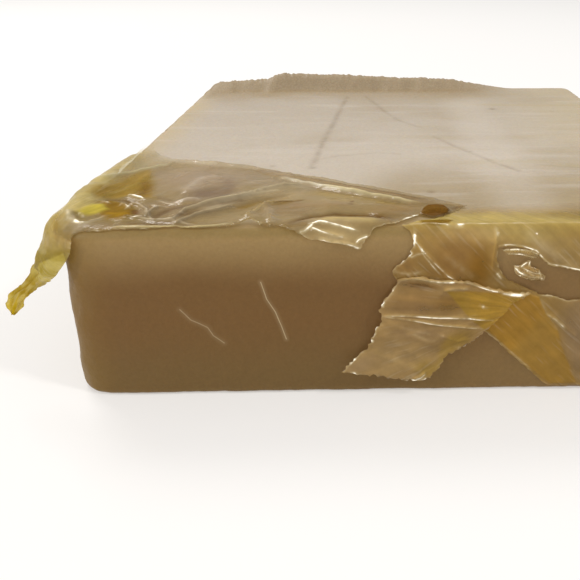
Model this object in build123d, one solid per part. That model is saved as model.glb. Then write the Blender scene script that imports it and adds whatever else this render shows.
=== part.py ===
from build123d import *
import math
import os

# A cast rosin cake with the torn remains of its cellophane wrapper.
# Millimetres, +Z up. The origin is the centre of the cake's outline on the
# plane the cake rests on. The wrapper was torn open on the front face, at -Y.
# Left is -X, right is +X and the back is +Y.

# ---------------------------------------------------------------- main sizes
CAKE_WIDTH = 50.0            # along X
CAKE_DEPTH = 58.0            # along Y
CAKE_HEIGHT = 13.0           # base to the poured top face
LEFT_CORNER_RADIUS = 3.0     # upright corners on the mould side
RIGHT_CORNER_RADIUS = 1.2    # upright corners on the cut side
TOP_RIM_RADIUS = 0.9
BASE_EDGE_RADIUS = 0.5
EDGE_TOLERANCE = 0.01        # slack when picking upright edges by position

FILM_THICKNESS = 0.12        # thicker than a real film, which is 0.02 to 0.03
FILM_GAP = 0.20              # air between the film and the cake

# Extents of the trimming prisms, well clear of everything they trim.
TRIM_REACH = 35.0            # either way along X or Y
TRIM_BOTTOM = -5.0
TRIM_TOP = 25.0
KEEP_TOP = 20.0              # top of the region kept above a torn lower edge


# ---------------------------------------------------------------- helpers
def one_solid(shape):
    """The shape's only solid. Anything that came apart stops the build."""
    found = shape.solids()
    if len(found) != 1:
        volumes = [round(solid.volume, 4) for solid in found]
        raise ValueError(f"expected one solid, found {len(found)}: {volumes}")
    return found[0]


def prism_xy(outline):
    """Upright prism on an (x, y) outline."""
    with BuildPart() as prism:
        with BuildSketch(Plane.XY.offset(TRIM_BOTTOM)):
            with BuildLine():
                Polyline(*outline, close=True)
            make_face()
        extrude(amount=TRIM_TOP - TRIM_BOTTOM)
    return prism.part.solids()[0]


def sweep_polygon(corners, travel):
    face = Face(Wire.make_polygon(corners, close=True))
    return Solid.extrude(face, travel)


def prism_xz(outline, y_start=-TRIM_REACH, y_end=TRIM_REACH):
    """Prism along Y on an (x, z) outline."""
    corners = [Vector(x, y_start, z) for x, z in outline]
    return sweep_polygon(corners, Vector(0, y_end - y_start, 0))


def prism_yz(outline, x_start=-TRIM_REACH, x_end=TRIM_REACH):
    """Prism along X on a (y, z) outline."""
    corners = [Vector(x_start, y, z) for y, z in outline]
    return sweep_polygon(corners, Vector(x_end - x_start, 0, 0))


def region_above(edge):
    """Close a torn lower edge into an outline of all that lies above it."""
    return edge + [(edge[-1][0], KEEP_TOP), (edge[0][0], KEEP_TOP)]


def flat_film(outline, y_middle):
    """Flat piece of film parallel to the front face, on an (x, z) outline."""
    half = FILM_THICKNESS / 2
    return prism_xz(outline, y_middle - half, y_middle + half)


def rounded_cake(grow):
    """The cake's outer form without its lip, grown outwards by grow."""
    half_width = CAKE_WIDTH / 2 + grow
    half_depth = CAKE_DEPTH / 2 + grow
    with BuildPart() as form:
        with BuildSketch(Plane.XY.offset(-grow)):
            Rectangle(2 * half_width, 2 * half_depth)
        extrude(amount=CAKE_HEIGHT + 2 * grow)
        left = [edge for edge in form.edges().filter_by(Axis.Z) if edge.center().X < 0]
        fillet(left, radius=LEFT_CORNER_RADIUS + grow)
        # The left fillets leave upright seams, so the right corners are
        # picked by both coordinates.
        right = [
            edge for edge in form.edges().filter_by(Axis.Z)
            if edge.center().X > half_width - EDGE_TOLERANCE
            and abs(edge.center().Y) > half_depth - EDGE_TOLERANCE
        ]
        fillet(right, radius=RIGHT_CORNER_RADIUS + grow)
        fillet(form.faces().sort_by(Axis.Z)[-1].edges(), radius=TOP_RIM_RADIUS + grow)
        fillet(form.faces().sort_by(Axis.Z)[0].edges(), radius=BASE_EDGE_RADIUS + grow)
    return form.part.solids()[0]


def film_shell():
    """Unbroken film all round the cake, from which the wrappers are trimmed."""
    return one_solid(rounded_cake(FILM_GAP + FILM_THICKNESS) - rounded_cake(FILM_GAP))


# ---------------------------------------------------------------- cake
# Raised lip where the melt climbed the back wall of the mould:
# (x, height above the poured face), left to right.
LIP_PROFILE = [
    (-23.6, 0.55), (-22.6, 1.15), (-20.0, 1.25), (-17.7, 1.3), (-15.6, 1.6),
    (-14.4, 2.05), (-11.0, 2.05), (-5.3, 1.85), (1.5, 1.6), (7.2, 1.3),
    (9.6, 1.0), (13.3, 0.45), (16.0, 0.06),
]
LIP_INSET = 0.3              # from the cake's back face
LIP_FOOT = 2.9               # thickness at the poured face
LIP_CREST = 1.2              # thickness at the highest point
LIP_ROOT = 0.8               # depth sunk below the poured face
LIP_CUTTER_LENGTH = 60.0
LIP_CUTTER_SIDE = 12.0


def make_cake():
    body = rounded_cake(0.0)
    back = CAKE_DEPTH / 2 - LIP_INSET
    front = back - LIP_FOOT
    root_z = CAKE_HEIGHT - LIP_ROOT
    crest = [(x, CAKE_HEIGHT + height) for x, height in LIP_PROFILE]
    outline = [(crest[0][0], root_z)] + crest + [(crest[-1][0], root_z)]
    lip = prism_xz(outline, front, back)
    # Slope the lip's front side back from the foot to the crest.
    lip_height = max(height for _, height in LIP_PROFILE)
    lean = math.degrees(math.atan2(LIP_FOOT - LIP_CREST, lip_height))
    cutter = Box(LIP_CUTTER_LENGTH, LIP_CUTTER_SIDE, LIP_CUTTER_SIDE,
                 align=(Align.CENTER, Align.MAX, Align.MIN))
    cutter = Pos(0, front, CAKE_HEIGHT) * (Rot(-lean, 0, 0) * cutter)
    lip = one_solid(lip - cutter)
    return one_solid(body + lip)


# ---------------------------------------------------------------- corner wrapper
# Plan outline (x, y). It runs past the cake's edges, and the two torn edges
# below trim what hangs down.
CORNER_PLAN = [
    (-27.0, -6.6), (-24.9, -6.4), (-23.4, -7.4), (-22.3, -8.9), (-19.7, -9.3),
    (-17.0, -11.0), (-13.1, -12.3), (-10.4, -13.7), (-6.6, -16.0), (-3.8, -17.7),
    (0.5, -20.9), (2.1, -22.3), (4.4, -24.5), (2.7, -25.6), (1.6, -25.2),
    (0.9, -26.6), (0.0, -27.1), (-0.5, -28.2), (-1.1, -29.0), (-1.1, -32.0),
    (-27.0, -32.0),
]
# Torn lower edge over the front face (x, z), left to right.
CORNER_FRONT_EDGE = [
    (-27.0, 8.4), (-25.2, 9.2), (-24.3, 10.4), (-23.8, 11.0), (-23.5, 12.0),
    (-23.2, 12.75), (-21.6, 12.85), (-20.4, 13.0), (-18.4, 12.95), (-15.6, 13.05),
    (-12.2, 13.1), (-11.3, 13.25), (-10.4, 13.2), (-9.6, 13.0), (-8.6, 12.9),
    (-7.8, 12.6), (-6.8, 12.25), (-6.2, 11.9), (-5.2, 11.75), (-4.3, 11.6),
    (-3.5, 11.8), (-2.9, 12.4), (-2.4, 12.75), (-1.0, 13.05), (0.6, 13.1),
    (6.0, 13.1),
]
# Torn lower edge over the left face (y, z), front to back.
CORNER_LEFT_EDGE = [
    (-32.0, 8.4), (-28.6, 8.6), (-26.4, 8.1), (-24.0, 9.2), (-21.0, 9.9),
    (-18.2, 11.2), (-14.0, 11.7), (-10.5, 12.5), (-7.4, 12.6), (-5.0, 13.0),
    (0.0, 13.0), (0.0, 13.1),
]
# Tail that stands off the left face (x, z), rooted within the film's thickness.
TAIL_Y = -26.9
TAIL_ROOT_X = -25.13
TAIL = [
    (TAIL_ROOT_X, 12.0), (-26.2, 12.1), (-26.4, 11.3), (-26.7, 10.6), (-27.2, 9.6),
    (-28.1, 8.3), (-28.8, 7.6), (-29.7, 6.6), (-29.6, 5.4), (-29.2, 5.3),
    (-28.5, 6.1), (-27.9, 6.8), (-27.2, 7.8), (-26.5, 8.3), (TAIL_ROOT_X, 9.0),
]


def make_corner_wrapper():
    piece = film_shell() & prism_xy(CORNER_PLAN)
    piece = piece & prism_xz(region_above(CORNER_FRONT_EDGE))
    piece = piece & prism_yz(region_above(CORNER_LEFT_EDGE))
    piece = one_solid(piece)
    return one_solid(piece + flat_film(TAIL, TAIL_Y))


# ---------------------------------------------------------------- front wrapper
# Region kept, seen from the front (x, z): from the torn left end, round under
# the fold and down the strap to the base edge.
FRONT_FACE = [
    (0.5, 16.0), (0.4, 12.8), (0.1, 12.6), (0.3, 11.8), (-0.15, 11.0),
    (-0.7, 10.4), (-1.2, 9.9), (-1.0, 9.65), (0.6, 9.55), (2.2, 9.35),
    (3.4, 9.2), (4.1, 8.2), (4.8, 6.8), (5.5, 5.2), (7.4, 3.45), (9.1, 1.75),
    (10.4, 0.5), (30.0, 0.5), (30.0, 16.0),
]
# Region kept in plan (x, y): a narrow turn-over along the front of the poured
# face, widening at the right-hand corner.
FRONT_PLAN = [
    (0.5, -33.0), (0.5, -29.2), (1.6, -27.9), (2.6, -26.9), (3.6, -26.0),
    (6.4, -25.5), (12.9, -25.3), (17.5, -24.9), (20.6, -23.6), (21.6, -20.5),
    (21.2, -16.6), (22.0, -13.0), (21.5, -10.2), (23.0, -8.0), (27.0, -7.2),
    (27.0, -33.0),
]
# Region kept on the right face (y, z), in front of the torn end.
FRONT_SIDE = [
    (-33.0, 16.0), (-7.4, 16.0), (-7.2, 13.2), (-8.2, 11.8), (-6.4, 10.4),
    (-7.6, 9.0), (-5.6, 7.4), (-6.8, 5.6), (-9.6, 4.4), (-9.0, 2.6),
    (-12.0, 0.5), (-33.0, 0.5),
]
# Hole torn in the front face (x, z).
HOLE = [
    (6.2, 11.8), (7.2, 11.7), (8.8, 11.3), (9.5, 10.7), (10.1, 10.3),
    (10.9, 9.9), (12.2, 9.75), (13.6, 9.4), (14.6, 8.7), (13.5, 7.9),
    (12.4, 7.6), (11.6, 7.4), (11.0, 7.7), (10.1, 7.9), (9.4, 7.9),
    (8.5, 8.7), (7.3, 9.2), (6.9, 10.2),
]
# Tag that hangs into the hole from its upper edge (x, z).
TAG = [
    (8.9, 11.9), (9.35, 11.0), (9.2, 10.3), (8.4, 10.5), (7.9, 10.3), (8.2, 9.7),
    (8.9, 9.35), (9.7, 9.1), (10.3, 9.15), (10.1, 9.8), (9.75, 10.4), (9.7, 11.9),
]
HOLE_Y = (-32.0, -27.0)      # span of the hole's cutter, through the front film
TAG_Y = (-33.0, -26.0)       # longer at both ends than the hole's cutter


def make_front_wrapper():
    piece = film_shell() & prism_xy(FRONT_PLAN)
    piece = piece & prism_xz(FRONT_FACE)
    piece = piece & prism_yz(FRONT_SIDE)
    # The tag is taken out of the cutter, so its film is left standing.
    hole = prism_xz(HOLE, *HOLE_Y) - prism_xz(TAG, *TAG_Y)
    return one_solid(piece - hole)


# ---------------------------------------------------------------- torn flap
# Loose flap (x, z). It hangs from a fold between its first and last points.
FLAP = [
    (-0.95, 9.30), (-0.84, 8.85), (-1.3, 8.3), (-1.66, 7.9), (-2.2, 6.95),
    (-2.3, 6.2), (-2.45, 5.7), (-2.7, 4.8), (-2.9, 4.1), (-3.6, 3.6),
    (-4.4, 2.75), (-5.0, 2.3), (-3.6, 2.0), (-2.0, 1.8), (-1.3, 1.5),
    (0.3, 1.35), (1.75, 1.7), (2.2, 2.6), (3.2, 3.6), (4.5, 4.5), (5.4, 5.2),
    (6.3, 6.3), (7.6, 7.2), (8.65, 8.05),
]
FLAP_Y = -29.62
FOLD_RADIUS = 0.15
FOLD_INSET = 0.02            # along X at each end of the fold


def make_torn_flap():
    (left_x, left_z), (right_x, right_z) = FLAP[0], FLAP[-1]
    start = Vector(left_x + FOLD_INSET, FLAP_Y, left_z)
    end = Vector(right_x - FOLD_INSET, FLAP_Y, right_z)
    along = end - start
    fold = Solid.make_cylinder(FOLD_RADIUS, along.length, Plane(origin=start, z_dir=along))
    return one_solid(flat_film(FLAP, FLAP_Y) + fold)


# ---------------------------------------------------------------- export
PIECES = {
    "rosin_cake": make_cake,
    "corner_wrapper": make_corner_wrapper,
    "front_wrapper": make_front_wrapper,
    "torn_flap": make_torn_flap,
}

os.makedirs("parts", exist_ok=True)
for name, make in PIECES.items():
    solid = make()
    solid.label = name
    export_step(solid, f"parts/{name}.step")
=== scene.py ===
import math

import bpy
import numpy as np
from mathutils import Matrix, Vector
from mathutils.geometry import delaunay_2d_cdt


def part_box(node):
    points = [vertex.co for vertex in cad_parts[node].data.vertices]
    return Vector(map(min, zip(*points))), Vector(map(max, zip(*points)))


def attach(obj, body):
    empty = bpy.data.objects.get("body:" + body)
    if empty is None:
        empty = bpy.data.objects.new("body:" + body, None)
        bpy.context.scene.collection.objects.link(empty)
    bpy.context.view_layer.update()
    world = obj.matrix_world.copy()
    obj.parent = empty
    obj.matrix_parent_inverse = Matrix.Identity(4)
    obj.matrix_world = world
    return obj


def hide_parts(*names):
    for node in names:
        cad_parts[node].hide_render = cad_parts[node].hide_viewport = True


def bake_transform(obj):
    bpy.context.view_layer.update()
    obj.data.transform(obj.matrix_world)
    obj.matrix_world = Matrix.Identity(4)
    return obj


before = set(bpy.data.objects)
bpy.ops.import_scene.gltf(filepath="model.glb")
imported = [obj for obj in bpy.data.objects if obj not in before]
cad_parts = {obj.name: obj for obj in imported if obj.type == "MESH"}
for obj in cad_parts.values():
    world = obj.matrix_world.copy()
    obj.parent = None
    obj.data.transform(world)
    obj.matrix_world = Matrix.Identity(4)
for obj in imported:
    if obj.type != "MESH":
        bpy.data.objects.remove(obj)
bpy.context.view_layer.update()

MM = 0.001

# The block, in millimetres, read from its CAD node. The lip stands on the
# poured face, so that face's height is stated.
_lo, _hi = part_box("rosin_cake")
HX = (_hi.x - _lo.x) / 2 / MM
HY = (_hi.y - _lo.y) / 2 / MM
H = 13.0
R_LEFT, R_RIGHT = 3.0, 1.6
R_TOP, R_BASE = 0.9, 0.5
ARC = R_TOP * math.pi / 2


# ------------------------------------------------------------------ noise
def _lattice(seed, shape):
    return np.random.default_rng(seed).random(shape) * 2 - 1


def _fade(t):
    return t * t * t * (t * (t * 6 - 15) + 10)


_L2, _L3 = {}, {}


def noise2(x, y, seed=0):
    g = _L2.setdefault(seed, _lattice(seed + 11, (128, 128)))
    xi, yi = np.floor(x).astype(int), np.floor(y).astype(int)
    u, v = _fade(x - xi), _fade(y - yi)
    a, b = xi % 128, yi % 128
    c, d = (a + 1) % 128, (b + 1) % 128
    return (g[a, b] * (1 - u) + g[c, b] * u) * (1 - v) + (g[a, d] * (1 - u) + g[c, d] * u) * v


def noise3(p, seed=0):
    g = _L3.setdefault(seed, _lattice(seed + 71, (48, 48, 48)))
    i = np.floor(p).astype(int)
    t = _fade(p - i)
    a, b = i % 48, (i + 1) % 48
    out = 0
    for dx, ix in ((0, a[:, 0]), (1, b[:, 0])):
        wx = t[:, 0] if dx else 1 - t[:, 0]
        for dy, iy in ((0, a[:, 1]), (1, b[:, 1])):
            wy = t[:, 1] if dy else 1 - t[:, 1]
            for dz, iz in ((0, a[:, 2]), (1, b[:, 2])):
                wz = t[:, 2] if dz else 1 - t[:, 2]
                out = out + g[ix, iy, iz] * wx * wy * wz
    return out


def fbm2(x, y, seed=0, octaves=3):
    return sum(noise2(x * 2**k, y * 2**k, seed + k) * 0.5**k for k in range(octaves))


def fbm3(p, seed=0, octaves=3):
    return sum(noise3(p * 2**k, seed + k) * 0.5**k for k in range(octaves))


def step(a, b, x):
    t = np.clip((np.asarray(x, float) - a) / (b - a), 0, 1)
    return t * t * (3 - 2 * t)


# ------------------------------------------------------------ polylines
def near(P, line):
    """(distance, share of the way along, signed side) from points to a polyline."""
    line = np.asarray(line, float)
    a, b = line[:-1], line[1:]
    d = b - a
    ln = np.hypot(d[:, 0], d[:, 1])
    run = np.concatenate([[0], np.cumsum(ln)])
    best = np.full(len(P), 1e9)
    along = np.zeros(len(P))
    side = np.zeros(len(P))
    for i in range(len(a)):
        r = P - a[i]
        t = np.clip((r @ d[i]) / max(ln[i] ** 2, 1e-12), 0, 1)
        off = r - t[:, None] * d[i]
        dist = np.hypot(off[:, 0], off[:, 1])
        m = dist < best
        best[m] = dist[m]
        along[m] = (run[i] + t[m] * ln[i]) / max(run[-1], 1e-9)
        side[m] = np.sign(d[i][0] * r[m, 1] - d[i][1] * r[m, 0])
    return best, along, side


def inside(P, ring):
    ring = np.asarray(ring, float)
    x, y = P[:, 0], P[:, 1]
    c = np.zeros(len(P), bool)
    for (x0, y0), (x1, y1) in zip(ring, np.roll(ring, -1, 0)):
        if y0 == y1:
            continue
        hit = (y0 > y) != (y1 > y)
        c ^= hit & (x < (x1 - x0) * (y - y0) / (y1 - y0) + x0)
    return c


def walk(line, gap, closed=False, jag=0.0, seed=0):
    line = [tuple(p) for p in line]
    if closed:
        line = line + [line[0]]
    out = []
    rng = np.random.default_rng(seed + 500)
    for p, q in zip(line[:-1], line[1:]):
        n = max(1, int(round(math.dist(p, q) / gap)))
        for k in range(n):
            t = k / n
            x, y = p[0] + (q[0] - p[0]) * t, p[1] + (q[1] - p[1]) * t
            if jag and k:
                L = math.dist(p, q)
                s = (rng.random() * 2 - 1) * jag
                x += -(q[1] - p[1]) / L * s
                y += (q[0] - p[0]) / L * s
            out.append((x, y))
    if not closed:
        out.append(line[-1])
    return out


# ------------------------------------------- the block's skin, laid out flat
def drop(z):
    """Length of skin from the poured face's edge down to height z."""
    if z >= H:
        return 0.0
    if z > H - R_TOP:
        return R_TOP * math.acos(1 - (H - z) / R_TOP)
    return ARC + (H - R_TOP - z)


def F(x, z):
    return (x, -(HY - R_TOP) - drop(z))


def FL(pts):
    return [F(x, z) for x, z in pts]


def LS(y, z):
    return (-(HX - R_TOP) - drop(z), y)


def RS(y, z):
    return ((HX - R_TOP) + drop(z), y)


def LC(deg, z):
    """Left front upright corner, deg from the left face round to the front."""
    a, rho = math.radians(deg), R_LEFT - R_TOP + drop(z)
    return (-(HX - R_LEFT) - rho * math.cos(a), -(HY - R_LEFT) - rho * math.sin(a))


def RC(deg, z):
    a, rho = math.radians(deg), R_RIGHT - R_TOP + drop(z)
    return (HX - R_RIGHT + rho * math.cos(a), -(HY - R_RIGHT) - rho * math.sin(a))


def skin(P, h):
    """Flat layout and height above the skin, to a place in space (mm)."""
    X, Y = P[:, 0], P[:, 1]
    r = np.where(X < 0, R_LEFT, R_RIGHT)
    qx, qy = np.clip(X, -(HX - r), HX - r), np.clip(Y, -(HY - r), HY - r)
    vx, vy = X - qx, Y - qy
    rho = np.hypot(vx, vy)
    safe = np.maximum(rho, 1e-9)
    nx, ny = vx / safe, vy / safe
    s = rho - (r - R_TOP)
    th = np.clip(s / R_TOP, 0, math.pi / 2)
    plan = np.where(s <= 0, rho, (r - R_TOP) + R_TOP * np.sin(th))
    z = np.where(s <= 0, H, np.where(s < ARC, H - R_TOP * (1 - np.cos(th)), H - R_TOP - (s - ARC)))
    w = np.sin(th)
    return np.stack([qx + nx * (plan + h * w), qy + ny * (plan + h * w), z + h * np.cos(th)], 1)


# ----------------------------------------------------------- mesh helpers
def make_object(name, co, faces, attrs=None, smooth=True):
    me = bpy.data.meshes.new(name)
    me.from_pydata([tuple(v) for v in (np.asarray(co) * MM)], [], faces)
    me.validate()
    me.update()
    for key, val in (attrs or {}).items():
        val = np.asarray(val, np.float32)
        if val.ndim == 1:
            me.attributes.new(key, "FLOAT", "POINT").data.foreach_set("value", val)
        elif val.shape[1] == 3:
            me.attributes.new(key, "FLOAT_VECTOR", "POINT").data.foreach_set("vector", val.ravel())
        else:
            me.attributes.new(key, "FLOAT_COLOR", "POINT").data.foreach_set("color", val.ravel())
    if smooth:
        me.polygons.foreach_set("use_smooth", [True] * len(me.polygons))
    ob = bpy.data.objects.new(name, me)
    bpy.context.scene.collection.objects.link(ob)
    return ob


def triangulate(outline, holes=(), lines=(), gap=0.3, seed=0):
    """Points and triangles inside the outline, clear of the holes, crisp along the lines."""
    rings = [outline] + list(holes)
    verts, edges = [], []
    for ring in rings:
        n0 = len(verts)
        verts += ring
        edges += [(n0 + i, n0 + (i + 1) % len(ring)) for i in range(len(ring))]
    border = np.array(verts)

    def ok(P, clear):
        m = inside(P, outline)
        for h in holes:
            m &= ~inside(P, h)
        for ring in rings:
            d, _, _ = near(P, list(ring) + [ring[0]])
            m &= d > clear
        return m

    extra = []
    for ln in lines:
        pts = np.array(walk(ln, 0.16))
        if len(pts) < 2:
            continue
        t = np.gradient(pts, axis=0)
        t /= np.maximum(np.hypot(t[:, 0], t[:, 1]), 1e-9)[:, None]
        nrm = np.stack([-t[:, 1], t[:, 0]], 1)
        for off in (0, 0.08, -0.08, 0.2, -0.2):
            extra.append(pts + nrm * off)
    if extra:
        extra = np.concatenate(extra)
        extra = extra[ok(extra, 0.05)]
    else:
        extra = np.zeros((0, 2))
    lo, hi = border.min(0), border.max(0)
    rng = np.random.default_rng(seed)
    ys = np.arange(lo[1], hi[1], gap * 0.866)
    grid = []
    for k, y in enumerate(ys):
        xs = np.arange(lo[0] + (gap / 2 if k % 2 else 0), hi[0], gap)
        grid.append(np.stack([xs, np.full(len(xs), y)], 1))
    grid = np.concatenate(grid)
    grid = grid + (rng.random(grid.shape) - 0.5) * gap * 0.35
    grid = grid[ok(grid, gap * 0.45)]
    for ln in lines:
        if len(grid):
            grid = grid[near(grid, ln)[0] > 0.3]
    allp = [Vector(p) for p in verts] + [Vector(p) for p in extra] + [Vector(p) for p in grid]
    vo, _, fo, *_ = delaunay_2d_cdt(allp, edges, [], 0, 1e-5)
    P = np.array([(v.x, v.y) for v in vo])
    tri = np.array([f for f in fo if len(f) == 3])
    mid = P[tri].mean(1)
    keep = inside(mid, outline)
    for h in holes:
        keep &= ~inside(mid, h)
    tri = tri[keep]
    a, b, c = P[tri[:, 0]], P[tri[:, 1]], P[tri[:, 2]]
    area = (b[:, 0] - a[:, 0]) * (c[:, 1] - a[:, 1]) - (b[:, 1] - a[:, 1]) * (c[:, 0] - a[:, 0])
    tri[area < 0] = tri[area < 0][:, ::-1]
    tri = tri[np.abs(area) > 1e-7]
    used = np.unique(tri)
    back = -np.ones(len(P), int)
    back[used] = np.arange(len(used))
    return P[used], back[tri]


def normals(co, tri):
    n = np.cross(co[tri[:, 1]] - co[tri[:, 0]], co[tri[:, 2]] - co[tri[:, 0]])
    out = np.zeros_like(co)
    for k in range(3):
        np.add.at(out, tri[:, k], n)
    return out / np.maximum(np.linalg.norm(out, axis=1), 1e-12)[:, None]


def shell(name, co, tri, attrs, thick=0.03):
    """A closed sheet of the given thickness."""
    n = normals(co, tri)
    N = len(co)
    up, down = co + n * thick / 2, co - n * thick / 2
    faces = [tuple(t) for t in tri.tolist()] + [tuple(v + N for v in t[::-1]) for t in tri.tolist()]
    seen = {}
    for t in tri.tolist():
        for a, b in ((t[0], t[1]), (t[1], t[2]), (t[2], t[0])):
            seen[(a, b)] = True
    for a, b in seen:
        if (b, a) not in seen:
            faces.append((b, a, a + N, b + N))
    both = {k: np.concatenate([v, v]) for k, v in attrs.items()}
    return make_object(name, np.concatenate([up, down]), faces, both)


# ------------------------------------------------------------ film fields
def relief(P, ridges=(), bumps=()):
    h = np.zeros(len(P))
    for line, amp, wid in ridges:
        d, t, _ = near(P, line)
        taper = np.clip(np.minimum(t, 1 - t) * 7, 0, 1)
        h += amp * (0.25 + 0.75 * taper) * np.exp(-d / wid)
    for cx, cy, rx, ry, deg, amp in bumps:
        a = math.radians(deg)
        dx, dy = P[:, 0] - cx, P[:, 1] - cy
        u, v = (dx * math.cos(a) + dy * math.sin(a)) / rx, (-dx * math.sin(a) + dy * math.cos(a)) / ry
        h += amp * np.exp(-(u * u + v * v))
    return h


def whitening_and_glints(P, marks, seed=0):
    """Bright creases: stress-whitened film with painted, glowing glints; thin, and broken along their length."""
    w = np.zeros(len(P))
    x, y = P[:, 0], P[:, 1]
    speck = np.clip(0.82 + 0.5 * noise2(x * 1.3, y * 1.3, seed) + 0.4 * noise2(x * 4.3, y * 4.3, seed + 2), 0.12, 1.2)
    for line, amp, wid in marks:
        d, t, _ = near(P, line)
        taper = np.clip(np.minimum(t, 1 - t) * 9 + 0.25, 0, 1)
        w = np.maximum(w, amp * taper * speck * np.exp(-((d / wid) ** 2)))
    return np.clip(w, 0, 1)


def patch_share(P, ring, soft):
    """1 inside a closed outline, 0 outside, over the given width."""
    d = near(P, list(ring) + [ring[0]])[0]
    return step(-soft / 2, soft / 2, np.where(inside(P, ring), d, -d))


# pools and patches: the film's own tints, and in places painted light and shade
def tint_and_shade(P, base, pools=(), patches=()):
    c = np.tile(np.array(base, float), (len(P), 1))
    for col, cx, cy, rx, ry, deg, amt in pools:
        a = math.radians(deg)
        dx, dy = P[:, 0] - cx, P[:, 1] - cy
        u, v = (dx * math.cos(a) + dy * math.sin(a)) / rx, (-dx * math.sin(a) + dy * math.cos(a)) / ry
        w = (amt * np.exp(-((u * u + v * v) ** 1.5)))[:, None]
        c = c * (1 - w) + np.array(col, float) * w
    for ring, _, col, soft, amt in patches:
        w = (amt * patch_share(P, ring, soft))[:, None]
        c = c * (1 - w) + np.array(col, float) * w
    return c


def stroke(P, c, lines):
    """Painted light and shade along the folds: (line, colour, width, amount)."""
    for line, col, wid, amt in lines:
        d, t, _ = near(P, line)
        w = (amt * np.clip(np.minimum(t, 1 - t) * 6 + 0.1, 0, 1) * np.exp(-((d / wid) ** 2)))[:, None]
        c = c * (1 - w) + np.array(col, float) * w
    return c


def sheen(c):
    """How much gloss a film colour carries: deep yellow pools have little."""
    return (1 - 0.85 * step(0.72, 0.97, 1 - c[:, 2] / np.maximum(c[:, 0], 1e-4)))[:, None]


def lin(r, g, b, a=1.0):
    f = lambda v: (v / 255 / 12.92) if v / 255 <= 0.04045 else ((v / 255 + 0.055) / 1.055) ** 2.4
    return (f(r), f(g), f(b), a)


def look(rgb, under, alpha=0.45, share=0.6, passes=2, gain=1.0):
    """Film that reads as rgb over what lies beneath it.

    Seven numbers: the haze's colour, its share of the sheet, and the colour of
    the light that gets through. share is how much of the result shows through.
    """
    want = np.maximum(np.array(lin(*rgb)[:3]) * gain - 0.012, 0.003)
    under = np.array(under, float)
    while True:
        let = np.clip(share * want / ((1 - alpha) ** passes * under), 0.01, 1.0) ** (1 / passes)
        through = (1 - alpha) ** passes * let ** passes * under
        haze = np.maximum((want - through) / (alpha * 0.66), 0.01)
        if haze.max() <= 0.85 or alpha >= 0.85:
            break
        alpha += 0.02
    haze *= min(1.0, 0.85 / haze.max())
    return np.concatenate([haze, [alpha], let])


ON_TOP = np.array(lin(199, 186, 168)[:3])
ON_FRONT = np.array(lin(121, 91, 57)[:3])
ON_WHITE = np.array([0.95, 0.94, 0.93])


def top(r, g, b, alpha=0.45, share=0.6):
    return look((r, g, b), ON_TOP, alpha, share, 2, 0.72)


def vivid(r, g, b, alpha=0.5, share=0.6):
    """top(), pushed away from the sheet's mean colour."""
    r, g, b = (min(max(m + 1.55 * (v - m), 8), 250) for v, m in zip((r, g, b), (176, 154, 116)))
    return top(r, g, b, alpha, share)


def thin(r, g, b):
    return look((r, g, b), ON_FRONT, 0.34, 0.5, 2, 0.82)


def fro(r, g, b, alpha=0.62, share=0.22):
    return look((r, g, b), ON_FRONT, max(alpha, 0.6), min(share, 0.25), 2, 0.82)


def air(r, g, b, alpha=0.5, share=0.6):
    return look((r, g, b), ON_WHITE, max(alpha, 0.62), min(share, 0.42), 1, 1.0)


def grain_of(P, grain):
    """Along and across the pleats: ('line', degrees) or ('fan', x, y)."""
    x, y = P[:, 0], P[:, 1]
    if grain[0] == "line":
        a = math.radians(grain[1])
        u, v = x * math.cos(a) + y * math.sin(a), -x * math.sin(a) + y * math.cos(a)
    else:
        dx, dy = x - grain[1], y - grain[2]
        a = math.atan2(dy.mean(), dx.mean())
        cx, cy = dx * math.cos(a) + dy * math.sin(a), -dx * math.sin(a) + dy * math.cos(a)
        u, v = np.hypot(cx, cy), np.arctan2(cy, cx) * 9.0
    return np.stack([u * 0.16, v * 1.5, np.zeros(len(P))], 1)


# ================================================================ rosin
LIP = np.array([(-24.2, 0.25), (-23.4, 0.95), (-22.6, 1.15), (-20.0, 1.22), (-17.7, 1.32), (-16.4, 1.5), (-15.5, 1.78),
                (-14.6, 2.1), (-12.0, 2.1), (-8.6, 1.98), (-5.3, 1.86), (1.5, 1.58), (7.2, 1.38), (9.6, 1.08),
                (13.3, 0.45), (16.0, 0.05), (17.0, 0.0)])

# Hairline marks in the poured face, (x, y) and strength.
TOP_MARKS = [
    ([(-5.5, 22.4), (-6.2, 13.5), (-6.9, 3.0), (-7.4, -3.1), (-7.7, -9.2), (-7.9, -12.6)], 0.62, 0.34),
    ([(-3.2, 22.4), (-1.1, 13.4), (0.5, 7.8), (2.7, 3.7)], 0.50, 0.28),
    ([(4.0, -0.9), (5.4, -4.6), (6.8, -7.4), (8.7, -11.5), (10.35, -14.1)], 0.55, 0.26),
    ([(-7.7, -9.6), (-5.65, -8.3), (-2.0, -7.2), (0.1, -7.8)], 0.28, 0.24),
    ([(12.3, -12.1), (14.1, -12.7), (15.9, -13.2)], 0.36, 0.24),
    ([(-8.4, -5.2), (-6.9, -5.5)], 0.32, 0.22),
]
TOP_SPECKS = [(12.07, 13.75, 0.42, 0.85), (2.2, -20.1, 0.30, 0.8), (-7.4, -2.6, 0.36, 0.6), (-7.75, -12.4, 0.32, 0.6),
              (6.8, -7.2, 0.26, 0.6), (10.3, -14.0, 0.26, 0.6), (-11.4, -11.8, 0.26, 0.45), (-1.8, 14.0, 0.3, 0.3),
              (19.0, 12.0, 0.3, 0.35), (-15.0, 6.0, 0.25, 0.25)]


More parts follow.
